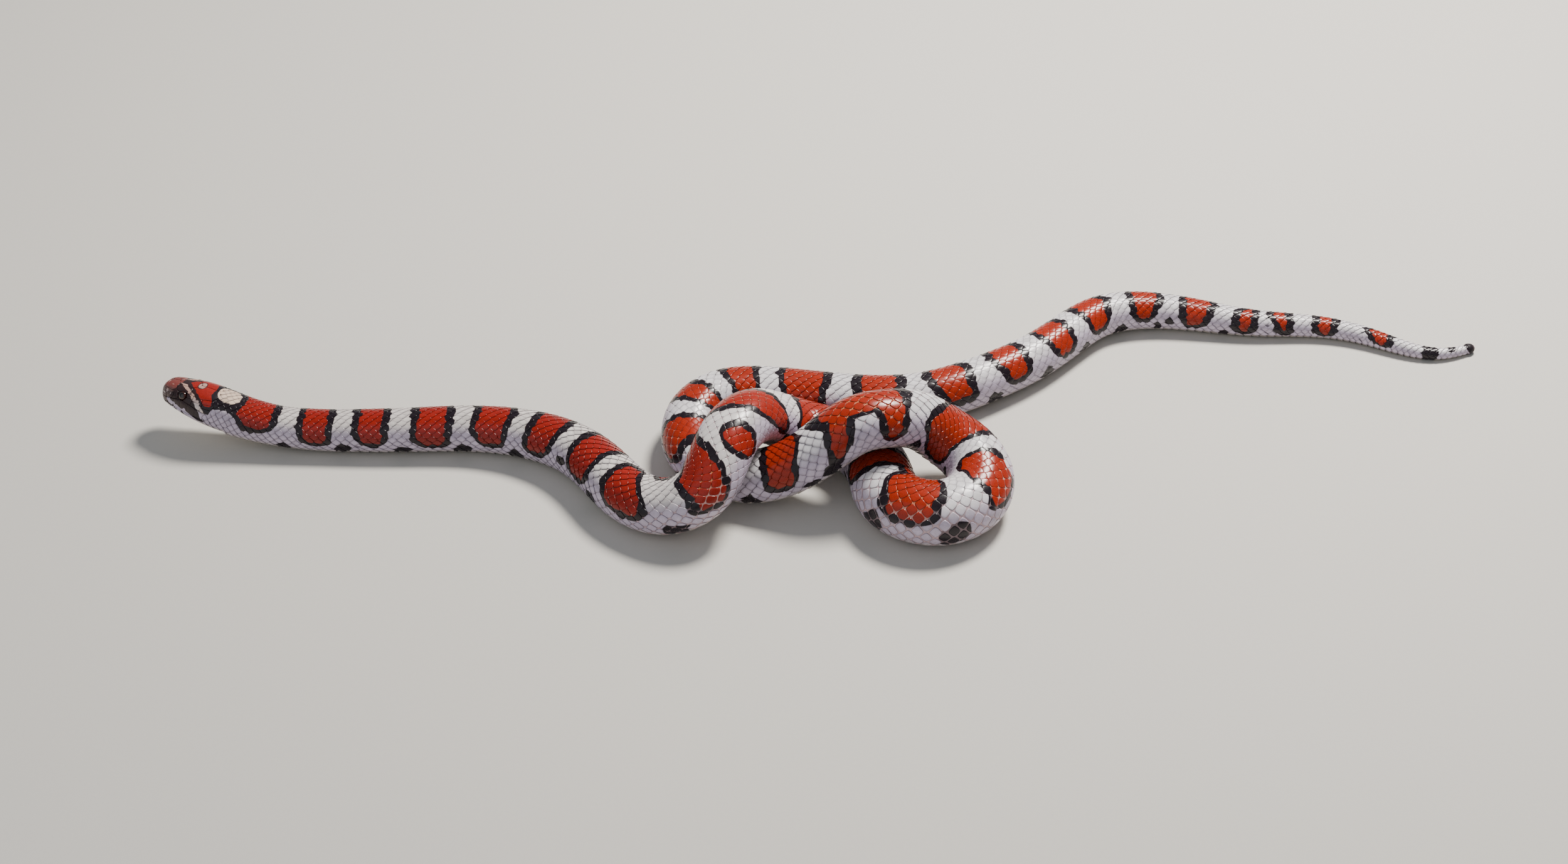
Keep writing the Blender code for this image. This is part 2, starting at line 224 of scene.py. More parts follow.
# Markings of skin and scales
# Thirty-odd brick-red blotches cross the back and taper down the flanks, each edged in black, on a
# greyish white ground. They are in the horn and the hide alike, so that a bend which draws the scales
# apart shows the same marking in the skin between. Distances are in millimetres, angles in degrees
# from the middle of the back. Each row: front and rear on the back, then for the left side front and
# rear half-way down, the place of the tip and how far down it reaches, and the same for the right
# side where it isn't the left's mirror image.
BLOTCHES = (
    (22.3, 34.8, 21.2, 34.3, 27, 91), (39.6, 50.4, 39.3, 49.4, 45.1, 102),
    (54.9, 65.3, 54.3, 64.4, 60.4, 102), (70.7, 82.4, 69.9, 81.5, 76.2, 108),
    (87.2, 99.6, 86.5, 98, 93.4, 100), (104, 115.8, 103.2, 114.6, 108.4, 100),
    (120.2, 132.6, 120.6, 133, 128.5, 99),
    (136.8, 147, 137.2, 151.8, 146.5, 92, 137, 145.6, 141, 40),
    (160, 174.4, 161.3, 170.6, 164.3, 92, 165, 177.2, 177.5, 90),
    (185.2, 197.3, 188.4, 199.5, 198.6, 104, 183, 194, 184, 92),
    (206.3, 221.5, 206.6, 219, 209.5, 94, 208, 221, 216, 95), (227.5, 237.5, 227.5, 237.5, 232, 95),
    (241.5, 250.7, 241.6, 250.4, 246, 95, 243, 252, 248, 96),
    (254.2, 271.4, 257.4, 269.6, 263.2, 79, 256, 271, 262, 92),
    (278.4, 293.3, 278.5, 291.4, 281.8, 83, 281.4, 292.4, 287.5, 48),
    (297.2, 312.8, 296.5, 309, 300, 90, 300.6, 318, 308, 118),
    (320.8, 330.4, 321, 330, 326, 92, 322, 329, 326, 101),
    (331.4, 339.9, 333, 341, 336, 90, 334.2, 341.6, 341.6, 101),
    (345.6, 360.2, 349, 360.2, 355, 92, 349.6, 360.3, 356.3, 100),
    (366.4, 377, 366.6, 376.8, 372, 95), (382.4, 393.1, 383.5, 393.2, 387, 92, 381.6, 393, 386, 95),
    (397.4, 406.4, 398, 406.4, 402, 92), (411, 421.4, 412, 421.6, 416, 94),
    (426, 441.7, 427.5, 440.8, 435.5, 97), (446.7, 462.1, 447.5, 461, 454.5, 92),
    (466.1, 481.4, 468.1, 479.8, 475.8, 91), (486, 499.4, 488, 498.2, 493.2, 90),
    (504.2, 516.8, 505.4, 515.6, 510.8, 91), (520.8, 534.6, 521.3, 532.2, 525.5, 92),
    (539.1, 550.2, 539.5, 548.9, 543.8, 91), (554, 565.6, 555, 564.2, 559, 107),
    (570.2, 577.4, 569.7, 577, 573.4, 112, 573.5, 577.5, 576, 95),
    (578.6, 586.9, 581, 586.8, 584.6, 112), (591.8, 600.3, 591.8, 599.6, 596, 108),
    (606.2, 616, 608.8, 616.2, 613.5, 93),
)
# Ovals that join two blotches: distance, degrees to the left, half their length, half their spread
BRIDGES = ((253, -58, 11, 38), (331.6, 14, 12, 50), (153.6, -48, 6.6, 38))
# Width of the black edge by distance: the snake darkens towards its tail
BLACK_EDGE = (
    (0, 2.1), (140, 2.1), (190, 1.8), (300, 1.8), (385, 1.9), (410, 1.8), (433, 2.1), (454, 2.8),
    (475, 2.8), (492, 2.4), (510, 2.1), (527, 2.4), (545, 2.1), (565, 2.3), (575, 2.3), (596, 2.5),
    (612, 2.2),
)
EDGE_ON_BACK = 1.05
EDGE_ON_FLANK = 0.95
DEGREES_A_MM = 7.5
PALE, BLACK, RED, SNOUT_BROWN, PINKISH = range(5)
LIGHT_TONES = [PALE, SNOUT_BROWN, PINKISH]
FAR_OUT = 9.0
# Oval patches: the same with their tone. First the flank spot on the crossing, the red and the pale
# that cut into a black edge, then the tail's rings
PATCHES = (
    (178.9, 45, 4.5, 47, BLACK), (178.6, 46, 2.8, 38, RED), (331, -7, 5.5, 20, RED),
    (291.8, 62, 4.3, 22, PALE), (626.3, 30, 2.15, 150, BLACK), (632.4, -8, 1.3, 56, BLACK),
    (641.4, 0, 4.8, 180, BLACK),
)
# Black marks low on the left flank, most of them between two blotches
LEFT_MARKS = (
    (36.5, 121, 2.2, 24), (51.8, 118, 2.5, 26), (68, 122, 3, 22), (84.5, 118, 2.5, 25),
    (101, 120, 2.5, 24), (119, 77, 1.9, 13), (134.8, 112, 2.3, 22), (157, 112, 2.2, 26),
    (203.5, 114, 2.3, 22), (224.5, 112, 2.2, 22), (239.5, 112, 1.8, 20), (257.2, 98, 2, 24),
    (271.6, 94, 2.9, 27), (295, 106, 2.2, 22), (316.5, 112, 2.4, 22), (343, 112, 2.1, 22),
    (363.5, 112, 2, 20), (379.5, 110, 2.1, 22), (395, 112, 2, 22), (408.6, 110, 2.1, 22),
    (423.6, 112, 2, 20), (444.3, 110, 2.3, 24), (464.2, 112, 2.1, 22), (485.2, 108, 2.3, 24),
    (503, 106, 2, 24), (518.9, 107, 2, 20), (535.8, 110, 2.6, 25), (548.6, 110, 1.4, 22),
    (552, 88, 1.2, 13), (568, 118, 1.4, 18),
)
RIGHT_MARKS = ((349.6, -126, 2.7, 17),) + tuple(
    (at + 1.2, -low - 3, half, spread) for at, low, half, spread in LEFT_MARKS
)
WOBBLE = np.random.default_rng(11).uniform(-1, 1, (360, 24))
WOBBLE_CELL = 2.0
WOBBLE_SIZE = 0.4
FLECKS = np.random.default_rng(12).uniform(-1, 1, (64, 56))
FLECK_CELL = 0.7


def smooth_noise(table, cell, distance, degrees):
    """A smooth random value from -1 to 1, from a table whose rows are a cell apart."""
    u, v = distance / cell, np.mod(degrees, 360) / 360 * table.shape[1]
    i, j = u.astype(int), v.astype(int)
    down, across = ramp(u - i, 0, 1), ramp(v - j, 0, 1)
    j, k = j % table.shape[1], (j + 1) % table.shape[1]
    near = table[i, j] * (1 - down) + table[i + 1, j] * down
    far = table[i, k] * (1 - down) + table[i + 1, k] * down
    return near * (1 - across) + far * across


def wobble(distance, degrees):
    """A smooth random offset of an edge, that no two blotches share."""
    return WOBBLE_SIZE * smooth_noise(WOBBLE, WOBBLE_CELL, distance, degrees)


def side_depth(distance, turn, back, side):
    """Millimetres that points of one side lie inside a blotch's outer edge, below zero outside it."""
    front, rear, tip, reach = side
    share = np.minimum(turn / reach, 1)
    upper, lower = np.minimum(2 * share, 1), np.maximum(2 * share - 1, 0)
    middle = (front + rear) / 2
    centre = np.where(share < 0.5, mix((back[0] + back[1]) / 2, middle, upper), mix(middle, tip, lower))
    half = mix(back[1] - back[0], rear - front, upper) / 2 * (1 - lower ** 2.6) ** 0.6
    return np.minimum(half - np.abs(distance - centre), (reach - turn) / DEGREES_A_MM)


def blotch_depth(distance, degrees, blotch):
    """The same for both sides of a blotch."""
    left = side_depth(distance, np.abs(degrees), blotch[:2], blotch[2:6])
    return np.where(degrees >= 0, left, side_depth(distance, np.abs(degrees), blotch[:2], blotch[-4:]))


def patch_depth(distance, degrees, patch):
    """The same for an oval patch."""
    centre, angle, half, spread = patch[:4]
    away = np.hypot((distance - centre) / half, (degrees - angle) / spread)
    return (1 - away) * min(half, spread / DEGREES_A_MM)


def between(value, low, high):
    """How far a value lies inside two limits, below zero outside them."""
    return np.minimum(value - low, high - value)


def lay(layers, tone, depth):
    """Lays a tone over the others wherever its depth is above zero."""
    own = np.maximum(layers[tone], depth)
    layers[:] = np.minimum(layers, -depth)
    layers[tone] = own


HEAD_DEGREES_A_MM = 9.0
HEAD_MARKS_END = 27.0
MASK_REAR = 17.5
SNOUT_REAR = 6.3
# Edges by the degrees from the middle of the crown: front and rear of the red, the middle and half
# width of the pale bar behind the eye, the middle of the dark stripe under it, the collar's rear
CROWN_FRONT = ((0, 10, 25, 40, 57, 66), (8.4, 9.6, 11.4, 12.6, 14.1, 15.4))
CROWN_REAR = ((0, 20, 40, 55, 66), (15.6, 15.2, 16.2, 16.4, 15.4))
BAR = (
    (0, 5, 13, 25, 35, 49, 60, 71, 85, 96),
    (5.9, 6.2, 7.2, 8.9, 10.1, 11.5, 12.6, 13.4, 14.2, 14.8),
)
BAR_HALF = ((0, 10, 35, 60, 80, 96), (0.6, 0.85, 0.85, 0.8, 0.95, 1.1))
STRIPE = ((60, 78, 90, 112), (10.3, 11.9, 13.2, 14.6))
COLLAR_REAR = ((0, 12, 36, 50, 64, 78), (24.5, 24.0, 22.0, 23.0, 25.0, 26.5))
# The upper edge of the white behind the jaw, in degrees by the distance
JAW_WHITE = ((16.2, 16.8, 18.5, 20.6, 22.2, 23.5, 24.9), (90, 66, 57, 52, 60, 73, 90))
# Ovals, as in the patches: the crown's spot and its pale core, the pale lips, the nape's spot
CROWN_SPOT = (11.65, 0, 1.1, 13.5)
CROWN_SPOT_CORE = (11.65, 0, 0.85, 10.5)
PALE_LIPS = ((4.9, 94, 1.0, 9), (7.4, 99, 1.3, 10), (10.4, 103, 1.8, 9))
DARK_LIPS = tuple((seam, 113, 0.5, 12) for seam in (2.6, 4.6, 6.9, 9.3))
NAPE_SPOT = (19.5, 0, 3.2, 28)


def head_layers(layers, distance, degrees):
    """The head's own markings: a dark mask, a pale bar behind the eye, a red crown, a pale nape."""
    turn = np.abs(degrees)
    down = turn / HEAD_DEGREES_A_MM
    fleck = smooth_noise(FLECKS, FLECK_CELL, distance, degrees)
    ragged = smooth_noise(FLECKS, FLECK_CELL, distance + 8, degrees + 50)
    mask = np.minimum(MASK_REAR + 0.02 * turn - distance, (150 - turn) / HEAD_DEGREES_A_MM)
    lay(layers, BLACK, mask)
    # A brown, mottled snout
    snout = np.minimum(SNOUT_REAR - 0.02 * turn - distance, 10.6 - down) + 0.5 * ragged
    lay(layers, SNOUT_BROWN, np.minimum(snout, 0.55 + 0.05 * down - fleck))
    speck = np.minimum(snout - 0.4, 0.9 * (fleck - 0.62))
    lay(layers, PINKISH, np.where(down > 2, speck, -FAR_OUT))
    # Red from behind the eyes to the collar, its edge slanting back down the sides
    rear = np.interp(turn, *CROWN_REAR)
    crown = between(distance, np.interp(turn, *CROWN_FRONT), rear)
    lay(layers, RED, np.minimum(crown, 6.7 - down) + 0.25 * ragged)
    lay(layers, BLACK, patch_depth(distance, turn, CROWN_SPOT))
    lay(layers, PINKISH, patch_depth(distance, turn, CROWN_SPOT_CORE) + 0.1 * ragged)
    # The pale bar from the crown, down behind the eye, to the throat
    bar = np.interp(turn, *BAR_HALF) - np.abs(distance - np.interp(turn, *BAR)) + 0.45 * ragged
    lay(layers, PINKISH, np.minimum(bar, between(down, 1.1, 10.2)))
    # A pale chin and throat, whitish lips with dark seams, and the dark stripe behind the eye
    lay(layers, PALE, (turn - 109) / HEAD_DEGREES_A_MM + 0.9 * fleck)
    for lip in DARK_LIPS:
        lay(layers, BLACK, patch_depth(distance, turn, lip) + 0.2 * ragged)
    for lip in PALE_LIPS:
        slanted = turn - 2.5 * (distance - lip[0])
        lay(layers, PALE, patch_depth(distance, slanted, lip) + 0.5 * fleck)
    corner = down - 9.3 + 0.06 * (distance - 13.6)
    lay(layers, PALE, np.minimum(between(distance, 13.8, 18), corner))
    stripe = 1.05 - np.abs(distance - np.interp(turn, *STRIPE)) + 0.2 * ragged
    lay(layers, BLACK, np.minimum(stripe, between(down, 6.7, 12.6)))
    # The black collar, its pale nape spot, and the white behind the jaw
    lay(layers, BLACK, np.minimum(between(distance, rear, 26), 7.3 - down))
    lay(layers, PINKISH, patch_depth(distance, turn, NAPE_SPOT))
    white = (turn - np.interp(distance, *JAW_WHITE)) / HEAD_DEGREES_A_MM
    lay(layers, PALE, np.minimum(between(distance, 16.2, 24.9), white))


def tone_layers(distance, degrees):
    """For each tone, how many millimetres inside its edge the points lie, below zero outside it."""
    layers = np.full((5, len(distance)), -FAR_OUT)
    layers[PALE] = FAR_OUT
    for mark in LEFT_MARKS + RIGHT_MARKS:
        lay(layers, BLACK, patch_depth(distance, degrees, mark) + 2 * wobble(distance, degrees))
    depth = [blotch_depth(distance, degrees, blotch) for blotch in BLOTCHES]
    depth = np.max(depth + [patch_depth(distance, degrees, bridge) for bridge in BRIDGES], axis=0)
    lay(layers, BLACK, depth + wobble(distance, degrees))
    near = distance < HEAD_MARKS_END
    head = layers[:, near]
    head_layers(head, distance[near], degrees[near])
    layers[:, near] = head
    turn = np.abs(degrees)
    edge = np.interp(distance, *zip(*BLACK_EDGE)) * mix(EDGE_ON_BACK, EDGE_ON_FLANK, ramp(turn, 5, 45))
    red = depth - edge + wobble(distance + 60, degrees)
    behind_collar = np.minimum(red, distance - np.interp(turn, *COLLAR_REAR))
    lay(layers, RED, np.where(near, behind_collar, red))
    for patch in PATCHES:
        lay(layers, patch[4], patch_depth(distance, degrees, patch) + 0.5 * wobble(distance, degrees))
    return layers


def linear(colour):
    """Linear red, green and blue of an sRGB hex value."""
    parts = np.array([int(colour[k:k + 2], 16) / 255 for k in (1, 3, 5)])
    return np.where(parts <= 0.04045, parts / 12.92, ((parts + 0.055) / 1.055) ** 2.4)


def mixed(first, second, share):
    """Two colours blended by a share for each point."""
    return first + (second - first) * np.asarray(share)[..., None]


PALE_FRONT = "#D5CDC8"
PALE_REAR = "#DBD7D9"
# The flanks' lilac grey is partly the ground's own tone and partly painted shade
PALE_FLANK_TONE_AND_SHADE = "#BAADBF"
PALE_BELLY = "#D2C8BA"
SNOUT_TOP = "#783A35"
SNOUT_SIDE = "#5C4B48"
BAR_TOP = "#B08C80"
BAR_SIDE = "#CFC3C2"
NAPE_CREAM = "#DCC3AE"
RED_FRONT = "#8E1A10"
RED_REAR = "#962309"
BLACK_HORN = "#1A1118"
BROWN_HORN = "#2E1C1E"
TONE_BLUR = 0.3


def ground_colour(distance, degrees, layers):
    """The colour between the blotches, with its drift along and round the body, the lilac grey of the flanks
    partly painted shade.
    """
    turn = np.abs(degrees)
    pale = mixed(linear(PALE_FRONT), linear(PALE_REAR), ramp(distance, 100, 300))
    pale = mixed(pale, linear(PALE_FLANK_TONE_AND_SHADE), ramp(turn, 32, 68))
    pale = mixed(pale, linear(PALE_BELLY), ramp(turn, 104, 146))
    snout = mixed(linear(SNOUT_TOP), linear(SNOUT_SIDE), ramp(turn, 25, 60))
    pinkish = mixed(linear(BAR_TOP), linear(BAR_SIDE), ramp(turn, 40, 75))
    pinkish = mixed(pinkish, linear(NAPE_CREAM), ramp(distance, 12, 18))
    share = np.clip(0.5 + layers[LIGHT_TONES] / TONE_BLUR, 1e-4, 1)
    share = (share / share.sum(axis=0))[..., None]
    return pale * share[0] + snout * share[1] + pinkish * share[2]


def red_colour(distance, degrees):
    """The colour of the blotches: brick red, more orange behind the neck, with painted shade that darkens it
    down the flanks.
    """
    red = mixed(linear(RED_FRONT), linear(RED_REAR), ramp(distance, 120, 260))
    # Painted shade: the red darkens towards the lower flanks
    return mixed(red, red * 0.62, ramp(np.abs(degrees), 60, 100))


def black_colour(distance):
    """The colour of the dark marks: brown on the snout, and nearly black behind the head."""
    return mixed(linear(BROWN_HORN), linear(BLACK_HORN), ramp(distance, 9, 17))


SKIN_DEPTH = 0.25
DRAWN_DEPTH = 0.13
SKIN_SIDES = 80
EYE_DISTANCE = 8.3
EYE_HEIGHT = 3.0
EYE_RADIUS = 1.3
EYE_STANDS_OUT = 0.35
SOCKET_RADIUS = 1.5
SOCKET_DEPTH = 1.2
MOUTH_BELOW = 0.32
MOUTH_END = 14.0
MOUTH_GROOVE = 0.2
CAP_LONG = 2.7
CAP_LIFT = 0.12


def lip_angle(distance):
    """Degrees from the back down to the line between the lips."""
    share = np.clip(distance / SNOUT_ROUND, 0, 1)
    drawn = np.sqrt(1 - (1 - share) ** 2)
    power = np.interp(distance, *zip(*SQUARENESS))
    level = np.clip(MOUTH_BELOW / np.maximum(drawn, 0.01), 0, 1) ** (power / 2)
    return 180 - np.degrees(np.arccos(level))


def height_angle(distance, height):
    """Radians from the back down to a height over the middle line on the head."""
    power = float(np.interp(distance, *zip(*SQUARENESS)))
    return math.acos((height / float(girth(np.array(distance))[1])) ** (power / 2))


EYE_ANGLE = height_angle(EYE_DISTANCE, EYE_HEIGHT)
eye_spots = [on_body(np.array(EYE_DISTANCE), np.array(side * EYE_ANGLE), 0.0) for side in (1, -1)]


def drawn(distance, angle):
    """How far a bend draws the skin out between its scales, from 0 to 1."""
    return ramp(read(ALONG_STRETCH, distance, angle), 1.06, 1.32)


def skin_lift(distance, angle, point):
    """How far the skin lies inside the outline: deeper in the sockets and between the lips."""
    lift = mix(-SKIN_DEPTH, -DRAWN_DEPTH, drawn(distance, angle))
    for spot in eye_spots:
        away = np.linalg.norm(point - spot, axis=-1)
        lift -= (SOCKET_DEPTH - SKIN_DEPTH) * (1 - ramp(away, SOCKET_RADIUS - 0.25, SOCKET_RADIUS + 0.1))
    apart = np.abs(np.abs(np.degrees(angle)) - lip_angle(distance))
    lift -= MOUTH_GROOVE * (1 - ramp(apart, 1.2, 3.5)) * (distance < MOUTH_END + 1)
    # The smooth cap of horn on the tail's tip
    return mix(lift, CAP_LIFT, ramp(distance, LENGTH - CAP_LONG, LENGTH - CAP_LONG + 0.5))


STRIPS = 3
STRIP_LONG = LENGTH / STRIPS
STRIP_SCALE = STRIP_LONG * 1.01


def strip_of(distance):
    """Which of the skin's strips a distance lies in."""
    return np.minimum((distance / STRIP_LONG).astype(int), STRIPS - 1)


def strip_place(distance, angle, strip):
    """Where a point lies on the skin laid flat in strips, one above another, side 1 across."""
    along = 0.002 + (distance - strip * STRIP_LONG) / STRIP_SCALE
    return np.stack([along, (strip + 0.5) / STRIPS + read(LATERAL, distance, angle) / STRIP_SCALE], axis=-1)


def bake_map(data, place):
    """Gives a mesh the bake's map, from a place for every corner of its faces."""
    layer = data.uv_layers.new(name="OFBake")
    layer.data.foreach_set("uv", place.astype(np.float32).ravel())


def whole(items, key, kind=int, width=1):
    """One property of all of a mesh's points, corners or faces, as an array."""
    values = np.zeros(len(items) * width, kind)
    items.foreach_get(key, values)
    return values


def lay_flat(data, distance, angle):
    """Maps a mesh of the skin to the strips, cut along the belly."""
    loops = whole(data.loops, "vertex_index")
    starts = whole(data.polygons, "loop_start")
    face_of = np.repeat(np.arange(len(starts)), whole(data.polygons, "loop_total"))
    strip = strip_of(np.minimum.reduceat(distance[loops], starts))[face_of]
    turn = angle[loops]
    over_seam = (turn < -3.0) & (np.maximum.reduceat(turn, starts)[face_of] > 2.0)
    bake_map(data, strip_place(distance[loops], np.where(over_seam, math.pi - 1e-6, turn), strip))


def mesh_from(name, points, faces, looks):
    """A smooth mesh object at the origin, from points in millimetres."""
    data = bpy.data.meshes.new(name)
    data.from_pydata((points * MM).tolist(), [], faces)
    data.shade_smooth()
    data.materials.append(looks)
    made = bpy.data.objects.new(name, data)
    bpy.context.scene.collection.objects.link(made)
    return made


def store(data, name, kind, values):
    """Stores one colour, vector or value for each point of a mesh."""
    layer = data.attributes.new(name, kind, "POINT")
    key = {"FLOAT_COLOR": "color", "FLOAT_VECTOR": "vector", "FLOAT": "value"}[kind]
    layer.data.foreach_set(key, np.asarray(values, np.float32).ravel())


def set_colours(data, layers, ground, red, black):
    """Stores each point's colour in the ground, in red and in black, and how deep it lies in a mark."""
    opaque = np.ones((len(ground), 1))
    for name, values in (("ground", ground), ("red", red), ("black", black)):
        store(data, name, "FLOAT_COLOR", np.concatenate([values, opaque], axis=1))
    inside = -np.max(layers[LIGHT_TONES], axis=0)
    store(data, "marks", "FLOAT_VECTOR", np.stack([inside, layers[RED], 0 * inside], axis=1))


def add_node(tree, kind, inputs=(), **settings):
    """Adds a node, sets its properties, and sets or links its inputs."""
    node = tree.nodes.new(kind)
    for key, value in settings.items():
        setattr(node, key, value)
    for key, value in dict(inputs).items():
        if isinstance(value, bpy.types.NodeSocket):
            tree.links.new(value, node.inputs[key])
        else:
            node.inputs[key].default_value = value
    return node


def new_look(name, constants):
    """A material with its shader's constant sockets set."""
    made = bpy.data.materials.new(name)
    made.use_nodes = True
    for key, value in constants.items():
        made.node_tree.nodes["Principled BSDF"].inputs[key].default_value = value
    return made


def noise_in(tree, cell_mm, detail, height):
    """A cloudy noise in the object's own space, its cells so many millimetres wide."""
    place = add_node(tree, "ShaderNodeTexCoord", location=(-1300, height))
    inputs = {"Vector": place.outputs["Object"], "Scale": 1 / (cell_mm * MM), "Detail": detail}
    return add_node(tree, "ShaderNodeTexNoise", inputs, location=(-1100, height)).outputs["Fac"]


def spread_out(tree, value, spread, low, high, place):
    """Maps the values within a spread round a half to a low and a high one."""
    inputs = {
        "Value": value, "From Min": 0.5 - spread, "From Max": 0.5 + spread,
        "To Min": low, "To Max": high,
    }
    return add_node(tree, "ShaderNodeMapRange", inputs, location=place).outputs["Result"]


def mottled(tree, colour, cell_mm, spread, strength):
    """Gives the shader a colour that a cloudy noise makes lighter and darker."""
    cloud = noise_in(tree, cell_mm, 3.0, -450)
    shade = spread_out(tree, cloud, spread, 1 - strength, 1 + strength, (-900, -450))
    inputs = {0: colour, "Scale": shade}
    made = add_node(tree, "ShaderNodeVectorMath", inputs, operation="SCALE", location=(-500, 200))
    tree.links.new(made.outputs["Vector"], tree.nodes["Principled BSDF"].inputs["Base Color"])


# Half the width over which the look blurs the edge of a mark, in millimetres
EDGE_BLUR = 0.07
NOISE_SPREAD = 0.2


def scaly_look(name, roughness, grain_mm, grain_depth, mottle, gloss, shine):
    """Grown horn or hide: the marking that its points carry, with a fine grain and a soft gloss."""
    made = new_look(name, {"Specular IOR Level": shine, "Coat Weight": gloss, "Coat Roughness": 0.18})
    tree = made.node_tree
    shader = tree.nodes["Principled BSDF"]
    own = {
        key: add_node(tree, "ShaderNodeAttribute", attribute_name=key, location=(-1500, height))
        for key, height in (("black", 700), ("ground", 500), ("red", 300), ("marks", 100))
    }
    marks = {0: own["marks"].outputs["Vector"]}
    depth = add_node(tree, "ShaderNodeSeparateXYZ", marks, location=(-1300, 100))
    colour = own["ground"].outputs["Color"]
    for axis, tone, left in (("X", "black", -1100), ("Y", "red", -850)):
        edge = {"Value": depth.outputs[axis], "From Min": -EDGE_BLUR, "From Max": EDGE_BLUR}
        inside = add_node(tree, "ShaderNodeMapRange", edge, location=(left, 100))
        tones = {0: inside.outputs["Result"], 6: colour, 7: own[tone].outputs["Color"]}
        colour = add_node(tree, "ShaderNodeMix", tones, data_type="RGBA", location=(left, 400)).outputs[2]
    mottled(tree, colour, 4 * grain_mm, NOISE_SPREAD, mottle)
    grain = noise_in(tree, grain_mm, 4.0, -200)
    rough = spread_out(tree, grain, NOISE_SPREAD, roughness - 0.06, roughness + 0.08, (-650, -100))
    tree.links.new(rough, shader.inputs["Roughness"])
    relief = {"Height": grain, "Distance": grain_depth * MM, "Strength": 0.6}
    bump = add_node(tree, "ShaderNodeBump", relief, location=(-400, -250))
    tree.links.new(bump.outputs["Normal"], shader.inputs["Normal"])
    return made


# Living hide: matt and soft, with a grain of about 0.2 mm
hide = scaly_look("living_hide", 0.55, 0.2, 0.02, 0.08, 0.0, 0.3)
SKIN_DARK = "#655C68"
SKIN_LILAC = "#C4A9AE"
SKIN_ORANGE = "#CF7A50"
# How far drawn-out skin takes these light colours, on the ground and red, and on black
NET_SHARE = 0.85
NET_ON_BLACK = 0.32
MOUTH_DARK = "#2B1C1A"
# Distance between the skin's rings on the head, on the body and on the tail's last 4 mm
HEAD_STEP, BODY_STEP, TIP_STEP = 0.35, 0.9, 0.25
spots = [STATIONS[0]]
while spots[-1] < LENGTH:
    step = HEAD_STEP if spots[-1] < HEAD_END else TIP_STEP if spots[-1] > LENGTH - 4 else BODY_STEP
    spots.append(spots[-1] + step)
spots = np.array(spots[1:-1])
turns = np.radians(np.arange(SKIN_SIDES) * 360 / SKIN_SIDES - 180)
ring_distance, ring_angle = [table.ravel() for table in np.meshgrid(spots, turns, indexing="ij")]
outline = on_body(ring_distance, ring_angle, 0 * ring_angle)
skin_points = on_body(ring_distance, ring_angle, skin_lift(ring_distance, ring_angle, outline))
middle_of_back = np.array(0.0)
ends = [on_body(np.array(at), middle_of_back, lift) for at, lift in ((0.0, -SKIN_DEPTH), (LENGTH, CAP_LIFT))]
skin_points = np.concatenate([skin_points, ends])
skin_distance = np.concatenate([ring_distance, [0.0, LENGTH]])
skin_angle = np.concatenate([ring_angle, [0.0, 0.0]])
skin_faces = []
for i in range(len(spots) - 1):
    for j in range(SKIN_SIDES):
        k = (j + 1) % SKIN_SIDES
        front, rear = i * SKIN_SIDES, (i + 1) * SKIN_SIDES
        skin_faces.append((front + j, rear + j, rear + k, front + k))
last = (len(spots) - 1) * SKIN_SIDES
for j in range(SKIN_SIDES):
    k = (j + 1) % SKIN_SIDES
    skin_faces.append((len(skin_points) - 2, j, k))
    skin_faces.append((len(skin_points) - 1, last + k, last + j))
skin = mesh_from("skin", skin_points, skin_faces, hide)
skin_degrees = np.degrees(skin_angle)
skin_layers = tone_layers(skin_distance, skin_degrees)
# Where a bend draws it out the skin is light, and elsewhere it is a dark line between the scales
drawn_out = drawn(skin_distance, skin_angle)
skin_ground = ground_colour(skin_distance, skin_degrees, skin_layers)
skin_ground = mixed(skin_ground * 0.5, linear(SKIN_DARK), 0.4)
skin_ground = mixed(skin_ground, linear(SKIN_LILAC), NET_SHARE * drawn_out)
skin_red = mixed(red_colour(skin_distance, skin_degrees) * 0.6, linear(SKIN_ORANGE), NET_SHARE * drawn_out)
skin_red = mixed(skin_red, linear(SKIN_LILAC), 0.6 * drawn_out * ramp(np.abs(skin_degrees), 25, 65))
lips_apart = np.abs(np.abs(skin_degrees) - lip_angle(skin_distance))
between_lips = (lips_apart < 3) & (skin_distance < MOUTH_END + 1)
skin_ground[between_lips] = linear(MOUTH_DARK)
skin_ground[skin_distance < HEAD_END - 3] *= 0.5
skin_black = mixed(black_colour(skin_distance), linear(SKIN_LILAC), NET_ON_BLACK * drawn_out)
set_colours(skin.data, skin_layers, skin_ground, skin_red, skin_black)


lay_flat(skin.data, skin_distance, skin_angle)
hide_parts(*[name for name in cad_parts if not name.startswith("eye")])
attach(skin, "root")


# Shields of the head
# Large smooth plates of horn cover the snout, the crown and the lips, edge to edge with a fine groove
# between them. Each is grown in the skin and slightly domed. A corner is given by how far back over
# the snout it lies, in millimetres, and by its degrees from the middle of the crown.
SNOUT_ARC = 5.0


def arc_to_distance(arc):
    """Distance behind the snout of a point so far back over the snout's rounded front."""
    turned = SNOUT_ROUND * (1 - np.cos(np.minimum(arc, SNOUT_ARC) / SNOUT_ARC * math.pi / 2))
    return np.where(arc < SNOUT_ARC, turned, arc - SNOUT_ARC + SNOUT_ROUND)


def distance_to_arc(distance):
    """The reverse: how far back over the rounded front a distance behind the snout lies."""
    turned = SNOUT_ARC * np.arccos(1 - np.minimum(distance, SNOUT_ROUND) / SNOUT_ROUND) / (math.pi / 2)
    return np.where(distance < SNOUT_ROUND, turned, distance - SNOUT_ROUND + SNOUT_ARC)


def half_shield(*points):
    """The outline of a shield that crosses the midline, from its left half."""
    return points + tuple((arc, -turn) for arc, turn in reversed(points) if abs(turn) not in (0, 180))


